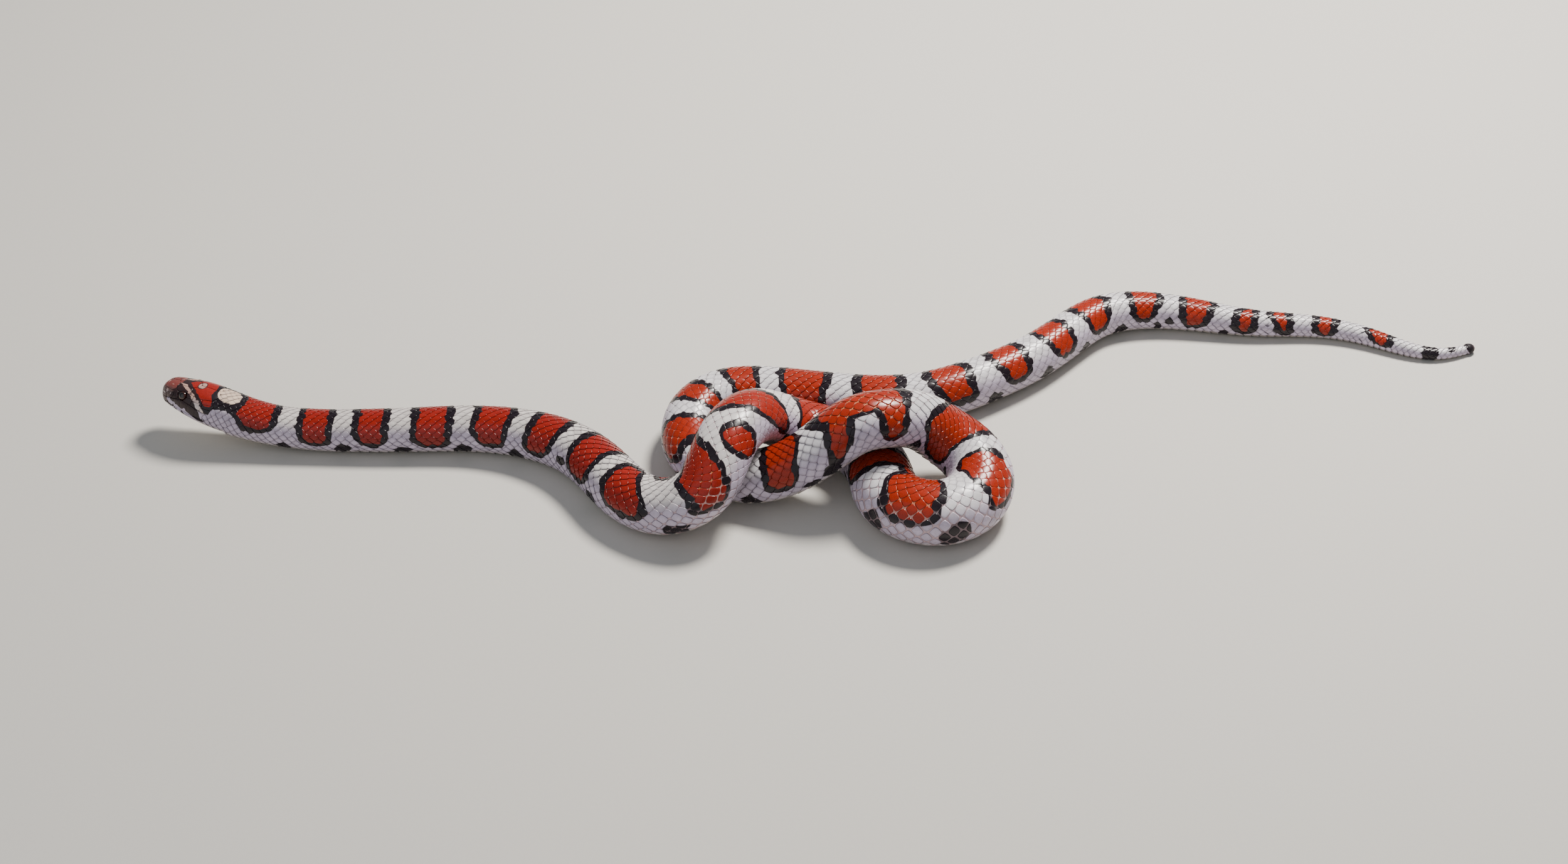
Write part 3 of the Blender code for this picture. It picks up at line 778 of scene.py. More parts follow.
def lip_row(arcs, edges, gap):
    """Shields side by side along a lip, from the places of their seams and their far edges."""
    def lip(arc):
        return arc, float(lip_angle(arc_to_distance(arc))) + gap

    row = []
    for start, end, first, last in zip(arcs, arcs[1:], edges, edges[1:]):
        row.append(((start, first), (end, last), lip(end), lip((start + end) / 2), lip(start)))
    return row


# On the midline: the snout's plate, the crown's middle plate and the chin's
ONE_SHIELDS = (
    half_shield((2.3, 0), (2.2, 35), (2.3, 62), (2.5, 85), (2.5, 106), (1.8, 119), (1.0, 150),
        (0.9, 180)),
    half_shield((7.1, 0), (7.5, 10), (8.0, 19), (10.0, 17), (11.9, 15.5), (12.9, 7), (13.3, 0)),
    half_shield((1.25, 180), (1.35, 152), (2.2, 128), (3.0, 150), (3.4, 180)),
)
# On the left: the crown's from snout to nape, the nostril's two, those before and behind the eye, the
# temple's, seven of the upper lip, eight of the lower lip, and the chin's two
LEFT_SHIELDS = (
    ((2.4, 0.5), (2.3, 41), (4.3, 44), (4.4, 0.5)),
    ((4.5, 0.5), (4.45, 44.5), (6.6, 50), (7.7, 38), (7.9, 19.5), (7.4, 10), (7.0, 0.5)),
    ((8.1, 20), (7.9, 37), (8.8, 44), (9.5, 39.8), (10.3, 38.6), (11.1, 39.8), (11.9, 43),
        (12.2, 28), (12.0, 16.5), (10, 18)),
    ((13.4, 0.6), (13.0, 8), (12.1, 17), (12.4, 30), (12.6, 43.5), (15.6, 45), (18.2, 36),
        (19.2, 18), (18.8, 0.6)),
    ((2.6, 43), (2.6, 84), (3.6, 86), (3.65, 81), (3.55, 77), (3.65, 73), (3.6, 45)),
    ((3.7, 45.5), (3.75, 72.5), (4.2, 73.5), (4.35, 77), (4.2, 80.5), (3.75, 81.5), (3.8, 86),
        (5.4, 85), (5.4, 49)),
    ((5.5, 49.5), (5.6, 84.5), (7.3, 79), (7.7, 64), (7.3, 55), (6.7, 51)),
    ((7.8, 39), (8.7, 45), (9.0, 49), (8.8, 55), (9.0, 62), (9.3, 67.5), (8.7, 73), (7.5, 78),
        (7.9, 64), (7.5, 55), (6.8, 50.5)),
    ((11.95, 43.5), (11.6, 47.5), (11.8, 55), (13.3, 56), (13.3, 45)),
    ((11.8, 56), (11.6, 63), (11.2, 68.5), (11.8, 73), (13.2, 74), (13.4, 57)),
    ((13.4, 45.5), (13.5, 60), (16.0, 61), (15.8, 46)),
    ((13.4, 61), (13.3, 75), (15.9, 80), (16.1, 62)),
    ((15.9, 45.5), (16.1, 59), (18.8, 53), (18.6, 38)),
    ((16.2, 60), (16.2, 70), (18.9, 68), (18.9, 54)),
    ((16.1, 71), (16.0, 80.5), (18.6, 84), (18.9, 69)),
    *lip_row((2.6, 4.3, 6.2, 8.2, 10.4, 12.6, 14.8, 16.9), (87, 87, 86, 78, 72.3, 75.5, 81, 86),
        -1.6),
    *lip_row((2.3, 3.7, 5.3, 7.1, 9.1, 11.1, 13.1, 15.1, 17), (128, 127, 128, 129, 130, 130, 130,
        130, 129), 1.6),
    ((3.5, 179.4), (3.1, 152), (3.9, 131), (5.5, 133), (7.9, 148), (8.2, 179.4)),
    ((8.3, 179.4), (8.0, 150), (9.5, 146), (11.3, 160), (11.8, 179.4)),
)
SHIELDS = list(ONE_SHIELDS) + list(LEFT_SHIELDS)
SHIELDS += [tuple((arc, -turn) for arc, turn in reversed(outline)) for outline in LEFT_SHIELDS]
SHIELD_STEP = 0.3
SHIELD_GRID = 0.13
SHIELD_FOOT = -0.28
SHIELD_RIM = -0.045
SHIELD_DOME = 0.03
SHIELD_GROWTH = 0.025
PLATE_RADIUS = 6.0
POLAR_ARC = 1.3


def flat_head(outline, polar):
    """An outline's corners on a plane: seen from the snout, or unrolled where it is clear of its tip."""
    arc, turn = np.array(outline, float).T
    turn = np.radians(turn)
    if polar:
        return np.stack([arc * np.cos(turn), arc * np.sin(turn)], axis=-1)
    return np.stack([arc, turn * PLATE_RADIUS], axis=-1)


def rounded_outline(corners):
    """Points close together along an outline, with its corners eased."""
    dense = []
    for start, end in zip(corners, np.roll(corners, -1, axis=0)):
        count = max(2, math.ceil(np.linalg.norm(end - start) / SHIELD_STEP))
        dense += [start + (end - start) * k / count for k in range(count)]
    dense = np.array(dense)
    eased = dense / 2 + (np.roll(dense, 1, axis=0) + np.roll(dense, -1, axis=0)) / 4
    along = unit(np.roll(eased, -1, axis=0) - np.roll(eased, 1, axis=0))
    outward = np.stack([along[:, 1], -along[:, 0]], axis=-1)
    area = np.cross(eased, np.roll(eased, -1, axis=0)).sum()
    return eased + outward * math.copysign(SHIELD_GROWTH, area)


def in_outline(x, y, corners):
    """Whether points lie inside a closed outline."""
    inside = np.zeros(x.shape, bool)
    for (x1, y1), (x2, y2) in zip(corners, np.roll(corners, -1, axis=0)):
        if y1 != y2:
            inside ^= ((y1 > y) != (y2 > y)) & (x < (x2 - x1) * (y - y1) / (y2 - y1) + x1)
    return inside


def rim_gap(spots, rim):
    """How far points lie from an outline."""
    start, along = rim, np.roll(rim, -1, axis=0) - rim
    ahead = spots[:, None] - start
    share = np.clip((ahead * along).sum(-1) / (along ** 2).sum(-1), 0, 1)
    return np.linalg.norm(ahead - share[..., None] * along, axis=-1).min(axis=1)


def shield_mesh(outlines):
    """Distances, angles, heights and faces of many slightly domed plates."""
    distances, angles, heights, faces = [], [], [], []
    for outline in outlines:
        polar = min(arc for arc, _ in outline) < POLAR_ARC
        rim = rounded_outline(flat_head(outline, polar))
        low, high = rim.min(axis=0), rim.max(axis=0)
        grid = np.meshgrid(*[np.arange(a + SHIELD_GRID / 2, b, SHIELD_GRID) for a, b in zip(low, high)])
        grid = np.stack([axis.ravel() for axis in grid], axis=-1)
        grid = grid[in_outline(*grid.T, rim)]
        grid = grid[rim_gap(grid, rim) > SHIELD_GRID / 2]
        count = len(rim)
        ring = [(k, (k + 1) % count) for k in range(count)]
        spots = [Vector(spot) for spot in np.concatenate([rim, grid])]
        flat, _, corners, given, _, _ = delaunay_2d_cdt(spots, ring, [], 1, 1e-6)
        place = {old: new for new, old_ones in enumerate(given) for old in old_ones}
        flat = np.array([list(spot) for spot in flat])
        gap = rim_gap(flat, rim)
        lift = SHIELD_RIM * (1 - ramp(gap, 0, 0.12)) + SHIELD_DOME * ramp(gap, 0.1, 0.9)
        first, foot = len(distances), len(distances) + len(flat)
        flat = np.concatenate([flat, rim])
        lift = np.concatenate([lift, np.full(count, SHIELD_FOOT)])
        arc = np.hypot(*flat.T) if polar else flat[:, 0]
        distances += list(arc_to_distance(arc))
        angles += list(np.arctan2(flat[:, 1], flat[:, 0]) if polar else flat[:, 1] / PLATE_RADIUS)
        heights += list(lift)
        faces += [tuple(first + corner for corner in face) for face in corners]
        for a, b in ring:
            faces.append((first + place[b], first + place[a], foot + a, foot + b))
        faces.append([foot + k for k in reversed(range(count))])
    return np.array(distances), np.array(angles), np.array(heights), faces


def outward_faces(made, merge=0.0):
    """Turns every face of a mesh of closed bodies outwards, once points so close are merged."""
    mesh = bmesh.new()
    mesh.from_mesh(made.data)
    if merge:
        bmesh.ops.remove_doubles(mesh, verts=mesh.verts, dist=merge)
    bmesh.ops.recalc_face_normals(mesh, faces=mesh.faces)
    mesh.to_mesh(made.data)
    mesh.free()


# Smooth horn with a polish, its grain under 0.15 mm
shield_horn = scaly_look("polished_shield_horn", 0.28, 0.15, 0.008, 0.14, 0.08, 0.34)
shield_distance, shield_angle, shield_lift, shield_faces = shield_mesh(SHIELDS)
shield_points = on_body(shield_distance, shield_angle, shield_lift)
shields = mesh_from("head_shields", shield_points, shield_faces, shield_horn)
outward_faces(shields)
shield_degrees = np.degrees(shield_angle)
shield_layers = tone_layers(shield_distance, shield_degrees)
set_colours(
    shields.data, shield_layers, ground_colour(shield_distance, shield_degrees, shield_layers),
    red_colour(shield_distance, shield_degrees), black_colour(shield_distance),
)
lay_flat(shields.data, shield_distance, shield_angle)
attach(shields, "root")


# Eyes
# A snake has no lids: a clear, fixed scale covers the ball of the eye, which is dark reddish brown
# with a round black pupil. Each eye is a ball set in its socket, looking out and a little forward.
EYE_RINGS = 28
EYE_SEGMENTS = 40
PUPIL_DEGREES = 36
IRIS_DEGREES = 74


IRIS_BROWN = "#34160F"
PUPIL_BLACK = "#0B0808"
# Wet, clear tissue over a coloured iris: the glossiest spot on the animal
wet_eye = new_look("wet_eye", {"Roughness": 0.1, "Coat Weight": 0.4, "Coat Roughness": 0.03})
iris = add_node(wet_eye.node_tree, "ShaderNodeAttribute", attribute_name="iris", location=(-900, 200))
mottled(wet_eye.node_tree, iris.outputs["Color"], 0.12, 0.15, 0.25)


def eye_ball(name, side_sign):
    """One eye, its rings centred on the way it looks."""
    distance, angle = np.array(EYE_DISTANCE), np.array(side_sign * EYE_ANGLE)
    outward = unit(read(OUTWARD, distance, angle))
    centre = Vector(on_body(distance, angle, 0.0) + outward * (EYE_STANDS_OUT - EYE_RADIUS))
    facing = Vector((0, 0, 1)).rotation_difference(Vector(outward))
    points, faces, tints = [], [], []
    for i in range(EYE_RINGS + 1):
        tilt = math.pi * i / EYE_RINGS
        in_iris = PUPIL_DEGREES < math.degrees(tilt) < IRIS_DEGREES
        for k in range(EYE_SEGMENTS):
            turn = 2 * math.pi * k / EYE_SEGMENTS
            aside = math.sin(tilt)
            way = Vector((aside * math.cos(turn), aside * math.sin(turn), math.cos(tilt)))
            points.append(list(centre + (facing @ way) * EYE_RADIUS))
            tints.append((*linear(IRIS_BROWN if in_iris else PUPIL_BLACK), 1))
    for i in range(EYE_RINGS):
        for k in range(EYE_SEGMENTS):
            a, b = i * EYE_SEGMENTS + k, i * EYE_SEGMENTS + (k + 1) % EYE_SEGMENTS
            faces.append((a, a + EYE_SEGMENTS, b + EYE_SEGMENTS, b))
    made = mesh_from(name, np.array(points), faces, wet_eye)
    store(made.data, "iris", "FLOAT_COLOR", tints)
    outward_faces(made, merge=1e-6)
    return made


for name, side_sign in (("eye_left", 1), ("eye_right", -1)):
    eye = eye_ball(name + "_ball", side_sign)
    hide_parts(name)
    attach(eye, "root")


# Scales of the back and flanks
# Smooth, glossy scales of horn, 21 to 23 rows of them, lap one over another like tiles, each row half
# a scale on from the next. On the outside of a bend they stand apart and the skin shows; on the
# inside they push over one another. They get smaller and fewer round the tail.
SCALE_PITCH = ((0, 1.5), (16, 1.7), (30, 2.2), (80, 2.75), (480, 2.75), (548, 2.4), (600, 1.9), (640, 1.4))
SCALE_ROWS = ((0, 21), (55, 23), (240, 21), (548, 15), (578, 11), (606, 7))
FLANK_ENDS = ((0, 128), (548, 128), (565, 116), (640, 112))
SCALE_WIDE = 1.78
SCALE_LONG = 1.2
LEAST_LONG = 0.66
MOST_LONG = 1.16
DRAWN_THICKNESS = 0.4
SCALE_SIDES = 14
# Rings of a scale from its middle out: share of its half size and drop below its top
SCALE_RINGS = ((0.5, 0.0), (0.84, 0.01), (1.0, 0.035), (0.97, 0.1))
ROOT_SINK = 0.19
ARCH = 0.05
CORNER_POWER = 1.32


def helper_object(name, mesh):
    """An object that stays off the scene, from a closed mesh whose faces it turns outwards."""
    bmesh.ops.recalc_face_normals(mesh, faces=mesh.faces)
    data = bpy.data.meshes.new(name)
    mesh.to_mesh(data)
    mesh.free()
    return bpy.data.objects.new(name, data)


def rounded(value):
    """A sine or cosine, bent so that a circle becomes a scale's rounded rhomb."""
    return math.copysign(abs(value) ** (2 / CORNER_POWER), value)


def scale_height(x, y):
    """Height of a scale's top, rising from its sunk root to its tip and arched across."""
    return -ROOT_SINK * (1 - ramp(x, -0.5, 0.42)) - ARCH * (2 * y) ** 2


def scale_body(name):
    """One flat scale a unit long and wide, its tip towards +X, closed below. Heights are in mm."""
    mesh = bmesh.new()
    rings = []
    for share, drop in SCALE_RINGS:
        ring = []
        for k in range(SCALE_SIDES):
            turn = 2 * math.pi * k / SCALE_SIDES
            x, y = rounded(math.cos(turn)) * share / 2, rounded(math.sin(turn)) * share / 2
            ring.append(mesh.verts.new((x, y, scale_height(x, y) - drop)))
        rings.append(ring)
    top = mesh.verts.new((0, 0, scale_height(0, 0)))
    for k in range(SCALE_SIDES):
        after = (k + 1) % SCALE_SIDES
        mesh.faces.new((rings[0][k], rings[0][after], top))
        for inner, outer in zip(rings, rings[1:]):
            mesh.faces.new((inner[k], outer[k], outer[after], inner[after]))
    mesh.faces.new(list(reversed(rings[-1])))
    return helper_object(name, mesh)


PELT_SOCKETS = (
    ("Geometry", "Places"), ("Object", "Scale"), ("Material", "Horn"), ("Float", "Turn"), ("Int", "Seed"),
)


def pelt_tree():
    """Sets one scale on every point, sized and slightly turned, and makes the whole one mesh."""
    tree = bpy.data.node_groups.new("pelt", "GeometryNodeTree")
    for kind, name in PELT_SOCKETS:
        tree.interface.new_socket(name, in_out="INPUT", socket_type="NodeSocket" + kind)
    tree.interface.new_socket("Pelt", in_out="OUTPUT", socket_type="NodeSocketGeometry")
    given = add_node(tree, "NodeGroupInput", location=(-1000, 0)).outputs
    scale = add_node(tree, "GeometryNodeObjectInfo", {"Object": given["Scale"]}, location=(-550, -150))
    size = add_node(
        tree, "GeometryNodeInputNamedAttribute", {"Name": "size"},
        data_type="FLOAT_VECTOR", location=(-550, -350),
    )
    back = {0: given["Turn"], 1: -1.0}
    least = add_node(tree, "ShaderNodeMath", back, operation="MULTIPLY", location=(-800, -450))
    limits = {2: least.outputs[0], 3: given["Turn"], "Seed": given["Seed"]}
    turn = add_node(tree, "FunctionNodeRandomValue", limits, data_type="FLOAT", location=(-550, -550))
    spin = add_node(tree, "ShaderNodeCombineXYZ", {"Z": turn.outputs[1]}, location=(-350, -500))
    placed = add_node(tree, "GeometryNodeInstanceOnPoints", {
        "Points": given["Places"], "Instance": scale.outputs["Geometry"],
        "Rotation": spin.outputs["Vector"], "Scale": size.outputs["Attribute"],
    }, location=(-150, 0))
    copies = {"Geometry": placed.outputs["Instances"]}
    real = add_node(tree, "GeometryNodeRealizeInstances", copies, location=(50, 0))
    dress = {"Geometry": real.outputs["Geometry"], "Material": given["Horn"]}
    clad = add_node(tree, "GeometryNodeSetMaterial", dress, location=(250, 0))
    add_node(tree, "NodeGroupOutput", {"Pelt": clad.outputs["Geometry"]}, location=(450, 0))
    return tree


PELT = pelt_tree()
# The pelt's flat layout, on which no scale meets another
FLAT_ALONG = 10
FLAT_ROUND = 100


def flat_pelt(name, scale, horn, places, thick, turn, seed):
    """The scales of a stretch laid out flat, as a plain mesh that knows each point's scale."""
    distance, angle, long, wide = places
    middle = np.stack([distance * FLAT_ALONG, angle * FLAT_ROUND, 0 * distance], axis=-1)
    data = bpy.data.meshes.new(name)
    data.from_pydata(middle.tolist(), [], [])
    store(data, "size", "FLOAT_VECTOR", np.stack([long, wide, thick + 0 * long], axis=-1))
    store(data, "number", "FLOAT", np.arange(len(long)))
    made = bpy.data.objects.new(name, data)
    bpy.context.scene.collection.objects.link(made)
    bpy.context.scene.collection.objects.link(scale)
    modifier = made.modifiers.new("pelt", "NODES")
    modifier.node_group = PELT
    sockets = {item.name: item.identifier for item in PELT.interface.items_tree if item.in_out == "INPUT"}
    for key, value in (("Scale", scale), ("Horn", horn), ("Turn", turn), ("Seed", seed)):
        modifier[sockets[key]] = value
    graph = bpy.context.evaluated_depsgraph_get()
    plain = bpy.data.meshes.new_from_object(made.evaluated_get(graph))
    made.modifiers.clear()
    made.data = plain
    bpy.context.scene.collection.objects.unlink(scale)
    return made


EDGE_STEP_ON_BACK = 0.22
EDGE_STEP_ON_FLANK = 0.38
EDGE_JITTER = 0.08
# The share of scales that are a little dirty, and how dark they are
SMUDGED = 0.1
SMUDGE = 0.86
# Painted shade round the rims of the scales: its lilac grey, and how far it darkens pale and red scales
RIM_SHADE_LILAC = "#5F5763"
RIM_SHADE_SHARE = 0.62
RED_RIM_SHADE_SHARE = 0.3
# On the bake's map each scale is a speck, this wide for so many millimetres of scale
SPECK_SIZE = 0.003
SPECK_SPAN = 3.4


def lay_on_body(data, places, mottle, lift, seed):
    """Bends a flat pelt onto the body, colours each scale, and maps each to a speck of its own."""
    distance, angle, long, wide = places
    flat = whole(data.vertices, "co", np.float32, 3).reshape(-1, 3).astype(float)
    number = np.rint(whole(data.attributes["number"].data, "value", np.float32)).astype(int)
    home_distance, home_angle = distance[number], angle[number]
    ahead = flat[:, 0] - home_distance * FLAT_ALONG
    aside = flat[:, 1] - home_angle * FLAT_ROUND
    at_distance = home_distance + ahead / read(ALONG_STRETCH, home_distance, home_angle)
    at_angle = home_angle + aside / read(ROUND_STRETCH, home_distance, home_angle)
    at_distance = np.clip(at_distance, 0.02, LENGTH - 0.02)
    points = on_body(at_distance, at_angle, flat[:, 2] + lift)
    data.vertices.foreach_set("co", (points * MM).astype(np.float32).ravel())
    # The marking is read a little towards each scale's middle, so its edges step from scale to scale
    on_flank = ramp(np.abs(home_angle), math.radians(50), math.radians(90))
    step = mix(EDGE_STEP_ON_BACK, EDGE_STEP_ON_FLANK, on_flank)
    seen_distance = mix(at_distance, home_distance, step)
    seen_degrees = np.mod(np.degrees(mix(at_angle, home_angle, step)) + 180, 360) - 180
    layers = tone_layers(seen_distance, seen_degrees)
    draw = np.random.default_rng(seed)
    shade = 1 + mottle * draw.uniform(-1, 1, len(distance))
    smudge = np.where(draw.uniform(0, 1, len(distance)) < SMUDGED, SMUDGE, 1.0)
    # Each scale is darker round its rim: painted shade for the fine shadow lines between the domed scales,
    # fainter where a bend draws them apart
    rim = np.abs(2 * ahead / long[number]) ** CORNER_POWER + np.abs(2 * aside / wide[number]) ** CORNER_POWER
    rim = ramp(rim, 0.55, 1.0) * (1 - 0.7 * drawn(home_distance, home_angle))
    ground = ground_colour(seen_distance, seen_degrees, layers) * (shade * smudge)[number, None]
    ground = mixed(ground, linear(RIM_SHADE_LILAC), RIM_SHADE_SHARE * rim)
    red = red_colour(seen_distance, seen_degrees) * (shade[number] * (1 - RED_RIM_SHADE_SHARE * rim))[:, None]
    layers = layers + EDGE_JITTER * draw.uniform(-1, 1, len(distance))[number]
    set_colours(data, layers, ground, red, black_colour(seen_distance))
    root = strip_place(home_distance, home_angle, strip_of(home_distance))
    speck = np.stack([ahead, aside], axis=-1) / SPECK_SPAN * SPECK_SIZE
    bake_map(data, (root + speck)[whole(data.loops, "vertex_index")])
    for name in ("size", "number"):
        data.attributes.remove(data.attributes[name])
    data.shade_smooth()


def grow_coat(name, scale, horn, places, mottle, seeds, thick=1.0, turn=0.0, lift=0.0):
    """Scales or scutes at their places on the body, as one mesh of solid horn."""
    made = flat_pelt(name, scale, horn, places, thick, turn, seeds[0])
    lay_on_body(made.data, places, mottle, lift, seeds[1])
    return made


def off_shields(distance, angle):
    """Whether points lie clear of every shield and of the eyes."""
    arc = distance_to_arc(distance)
    x, y = arc * np.cos(angle), arc * np.sin(angle)
    clear = np.ones(distance.shape, bool)
    for outline in SHIELDS:
        clear &= ~in_outline(x, y, flat_head(outline, True))
    return clear


# Where the first scales stand behind the shields, on the nape and on the jaw, and between which
# degrees those of the jaw start under the last lip shields
FIRST_RING = 9.0
SHIELDS_END = 26
NAPE_START = 17
JAW_START = 14.5
UNDER_LIPS_START = 15
JAW_TOP, JAW_FOOT = 78, 112


def scale_places():
    """Distance, angle, length and width of every scale of the back and flanks."""
    found = []
    ring = FIRST_RING
    while ring < LENGTH - CAP_LONG - 0.2:
        pitch = float(np.interp(ring, *zip(*SCALE_PITCH)))
        rows = [count for start, count in SCALE_ROWS if start <= ring][-1]
        edge = math.radians(np.interp(ring, *zip(*FLANK_ENDS)))
        station = np.searchsorted(STATIONS, ring)
        spacing = np.interp(edge, ANGLES, LATERAL[station]) / (rows / 2)
        for row in range(-(rows // 2), rows // 2 + 1):
            spot = ring + (pitch / 2 if row % 2 else 0)
            angle = np.interp(row * spacing, LATERAL[station], ANGLES)
            found.append((spot, angle, pitch, spacing))
        ring += pitch
    distance, angle, pitch, spacing = np.array(found).T
    turn = np.abs(np.degrees(angle))
    under_lips = (distance > UNDER_LIPS_START) & (turn > JAW_TOP) & (turn < JAW_FOOT)
    keep = (distance > SHIELDS_END) | off_shields(distance, angle) | under_lips
    keep &= (distance > NAPE_START) | (turn > JAW_TOP)
    keep &= distance > JAW_START
    distance, angle, pitch, spacing = distance[keep], angle[keep], pitch[keep], spacing[keep]
    stretch = read(ALONG_STRETCH, distance, angle)
    long = pitch * np.clip(SCALE_LONG * stretch, LEAST_LONG, MOST_LONG)
    return distance, angle, long, spacing * SCALE_WIDE


# Smooth scale horn: dark and pale alike shine softly, with a grain that is finer than it can show,
# so it is drawn at 0.25 mm
scale_horn = scaly_look("glossy_scale_horn", 0.25, 0.25, 0.008, 0.08, 0.05, 0.3)
back_scale = scale_body("back_scale")
scales = scale_places()
scale_thick = mix(1, DRAWN_THICKNESS, drawn(*scales[:2]))
SCALE_TURN = math.radians(3)
COAT = (
    ("neck", 0, 105), ("fore", 105, 205), ("turn", 205, 300), ("arch", 300, 395), ("hind", 395, 500),
    ("tail", 500, 700),
)
for number, (name, start, end) in enumerate(COAT):
    here = (scales[0] >= start) & (scales[0] < end)
    coat = grow_coat(
        "scales_" + name, back_scale, scale_horn, [values[here] for values in scales], 0.07,
        (number, 20 + number), scale_thick[here], SCALE_TURN,
    )
    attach(coat, "root")


# Scutes of the belly
# One broad, smooth plate of horn to each ring of scales crosses the belly from flank to flank, its
# rear edge free. Under the tail they come in pairs.
VENT = 548.0
FIRST_SCUTE = 21.5
# How much wider than the bare belly a scute is, its ends tucked under the lowest scales
SCUTE_TUCK = 1.09
SCUTE_OVERLAP = 1.02
SCUTE_LONG = 1.18
SHORTEST_SCUTE, LONGEST_SCUTE = 0.6, 1.3
SCUTE_CUTS = 24
# A scute's outline from its sunk root over its rear edge to below: along and up
SCUTE_PROFILE = (
    (-0.5, -0.28), (-0.1, -0.16), (0.3, -0.04), (0.47, -0.01), (0.5, -0.07), (0.47, -0.13),
)


def scute_body(name):
    """One scute a unit long and wide, finely cut across so that it bends round the belly."""
    mesh = bmesh.new()
    across = [k / SCUTE_CUTS - 0.5 for k in range(SCUTE_CUTS + 1)]
    lines = []
    for x, z in SCUTE_PROFILE:
        line = []
        for y in across:
            trim = 1 - 0.25 * abs(2 * y) ** 8
            line.append(mesh.verts.new((x * trim, y, z - 0.08 * abs(2 * y) ** 12)))
        lines.append(line)
    lines.append([mesh.verts.new((-0.45, y, -0.32)) for y in across])
    for first, second in zip(lines, lines[1:] + lines[:1]):
        for k in range(SCUTE_CUTS):
            mesh.faces.new((first[k], second[k], second[k + 1], first[k + 1]))
    for k in (0, SCUTE_CUTS):
        mesh.faces.new([line[k] for line in lines])
    return helper_object(name, mesh)


def scute_places():
    """Distance, angle, length and width of every scute, one to a ring, two to a ring on the tail."""
    found = []
    ring = FIRST_SCUTE
    while ring < LENGTH - CAP_LONG - 0.4:
        pitch = float(np.interp(ring, *zip(*SCALE_PITCH)))
        edge = math.radians(np.interp(ring, *zip(*FLANK_ENDS)))
        station = np.searchsorted(STATIONS, ring)
        if ring < VENT:
            span = 2 * (math.pi - edge) * ROUND_STRETCH[station, -1] * SCUTE_TUCK
            found.append((ring, math.pi, pitch, span))
        else:
            span = 2 * (LATERAL[station][-1] - np.interp(edge, ANGLES, LATERAL[station]))
            quarter = np.interp(LATERAL[station][-1] - span / 4, LATERAL[station], ANGLES)
            found.append((ring, quarter, pitch, span / 2))
            found.append((ring + pitch / 2, -quarter, pitch, span / 2))
        ring += pitch
    distance, angle, pitch, span = np.array(found).T
    long = np.clip(SCUTE_LONG * read(ALONG_STRETCH, distance, angle), SHORTEST_SCUTE, LONGEST_SCUTE)
    return distance, angle, pitch * long, span * SCUTE_OVERLAP


# Belly horn: paler, smoother and a little shinier than the back's, rubbed by the ground
belly_horn = scaly_look("rubbed_belly_horn", 0.3, 0.25, 0.006, 0.1, 0.05, 0.35)
scute = scute_body("scute")
scutes = grow_coat("belly_scutes", scute, belly_horn, scute_places(), 0.04, (3, 31))
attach(scutes, "root")


# Small scales of the throat
# Between the chin shields, the lower lips and the first scutes the throat has small smooth scales.
GULAR_PITCH = 1.45
GULAR_STEP = 11.5
GULAR_START = 3.0


def gular_places():
    """Distance, angle, length and width of the throat's small scales."""
    found = []
    for k, ring in enumerate(np.arange(GULAR_START, FIRST_SCUTE, GULAR_PITCH / 2)):
        for turn in np.arange(125 + GULAR_STEP / 2 * (k % 2), 236, GULAR_STEP):
            found.append((ring, math.radians((turn + 180) % 360 - 180)))
    distance, angle = np.array(found).T
    keep = off_shields(distance, angle) & (np.abs(np.degrees(angle)) > lip_angle(distance) + 14)
    distance, angle = distance[keep], angle[keep]
    wide = read(ROUND_STRETCH, distance, angle) * math.radians(GULAR_STEP)
    return distance, angle, np.full(len(distance), GULAR_PITCH * 1.25), wide * 1.15


throat = grow_coat("throat_scales", back_scale, scale_horn, gular_places(), 0.05, (5, 41), lift=-0.03)
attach(throat, "root")


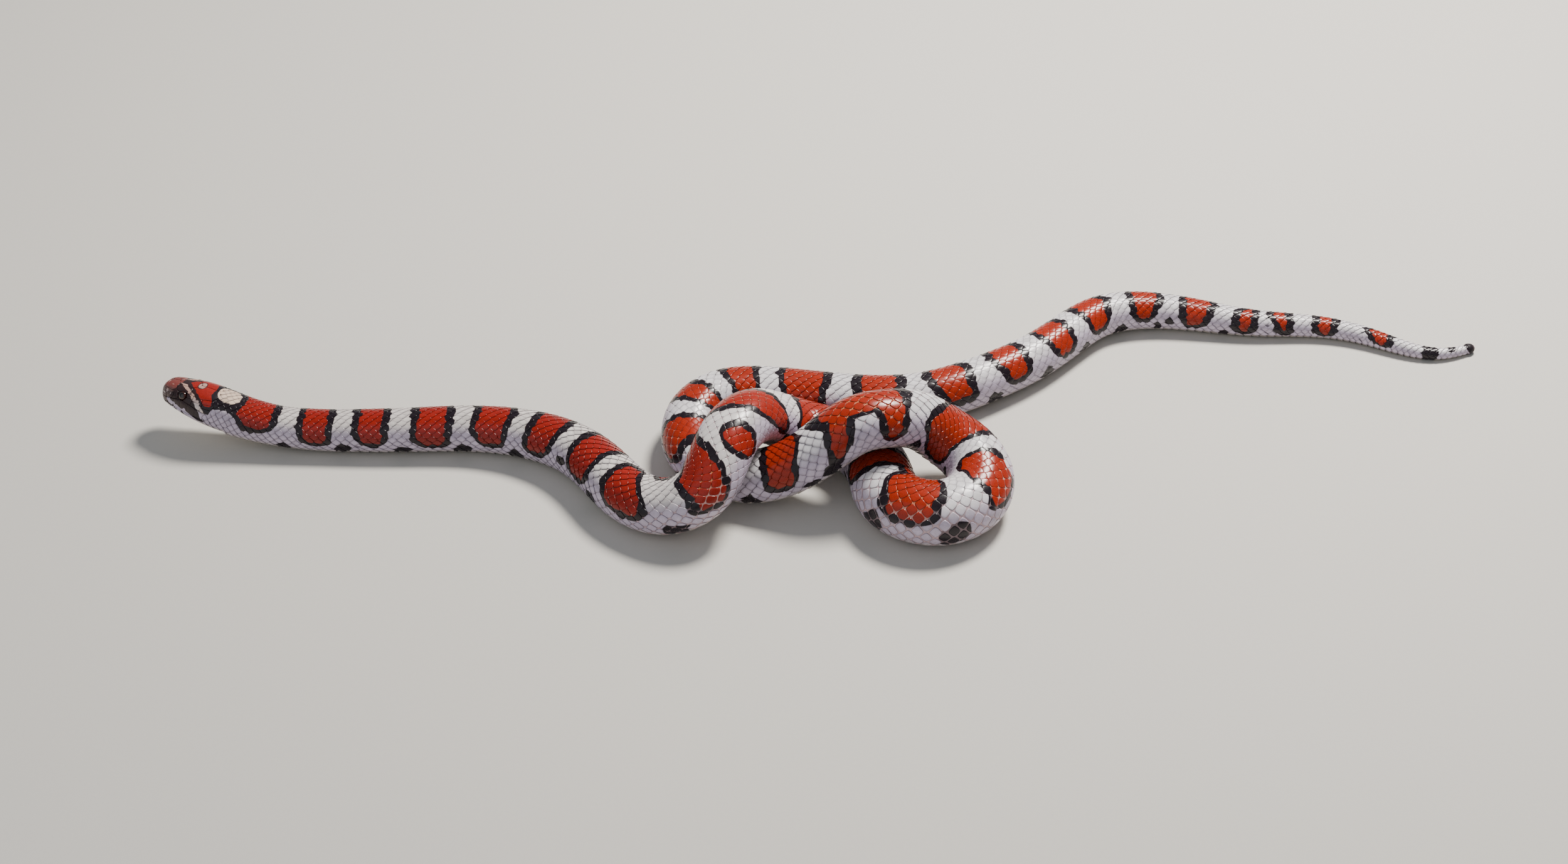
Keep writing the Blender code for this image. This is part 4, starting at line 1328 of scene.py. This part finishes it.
# Floor, light and camera
# A pale seamless studio floor, one large soft light high behind the snake's right, and weaker fill.
# The backdrop is matt pale paper, its fibres drawn a millimetre wide so that they show at all.
PAPER_GREY = "#CFCBC4"
paper = new_look("matt_backdrop_paper", {"Roughness": 0.9})
mottled(paper.node_tree, tuple(linear(PAPER_GREY)), 1 / 0.9, 0.5, 0.02)
floor_data = bpy.data.meshes.new("floor")
floor_data.from_pydata([(-3, -3, 0), (3, -3, 0), (3, 3, 0), (-3, 3, 0)], [], [(0, 1, 2, 3)])
floor_data.materials.append(paper)
floor = bpy.data.objects.new("floor", floor_data)
bpy.context.scene.collection.objects.link(floor)


def soft_light(name, place, aim, size, watts, colour):
    """A round soft box that faces a point."""
    data = bpy.data.lights.new(name, "AREA")
    data.shape = "DISK"
    data.size = size
    data.energy = watts
    data.color = colour
    made = bpy.data.objects.new(name, data)
    made.location = place
    made.rotation_euler = (Vector(aim) - Vector(place)).to_track_quat("-Z", "Y").to_euler()
    bpy.context.scene.collection.objects.link(made)


soft_light("key", (0.25, 0.32, 0.62), (0, 0, 0), 0.2, 11.5, (1.0, 0.96, 0.9))
soft_light("fill", (-0.5, -0.7, 0.55), (0, 0, 0), 1.5, 3.0, (0.92, 0.95, 1.0))
world = bpy.data.worlds.new("studio")
world.use_nodes = True
background = world.node_tree.nodes["Background"]
background.inputs["Color"].default_value = (0.8, 0.85, 0.92, 1)
background.inputs["Strength"].default_value = 0.32
bpy.context.scene.world = world

# The photograph's view: 38 degrees down, from the snake's left, with a long lens
CAMERA_ELEVATION = math.radians(38)
CAMERA_DISTANCE = 0.9638
HALF_FIELD = math.radians(12.5)
SENSOR = 36
aim = Vector((-FOOTPRINT_MIDDLE[0], -FOOTPRINT_MIDDLE[1], 0)) * MM
camera_data = bpy.data.cameras.new("camera")
camera_data.sensor_width = SENSOR
camera_data.lens = SENSOR / 2 / math.tan(HALF_FIELD)
camera_data.clip_start = 0.01
camera = bpy.data.objects.new("camera", camera_data)
camera.location = aim + Vector((0, -math.cos(CAMERA_ELEVATION), math.sin(CAMERA_ELEVATION))) * CAMERA_DISTANCE
camera.rotation_euler = (aim - camera.location).to_track_quat("-Z", "Y").to_euler()
bpy.context.scene.collection.objects.link(camera)
bpy.context.scene.camera = camera

for helper in (back_scale, scute):
    bpy.data.objects.remove(helper)
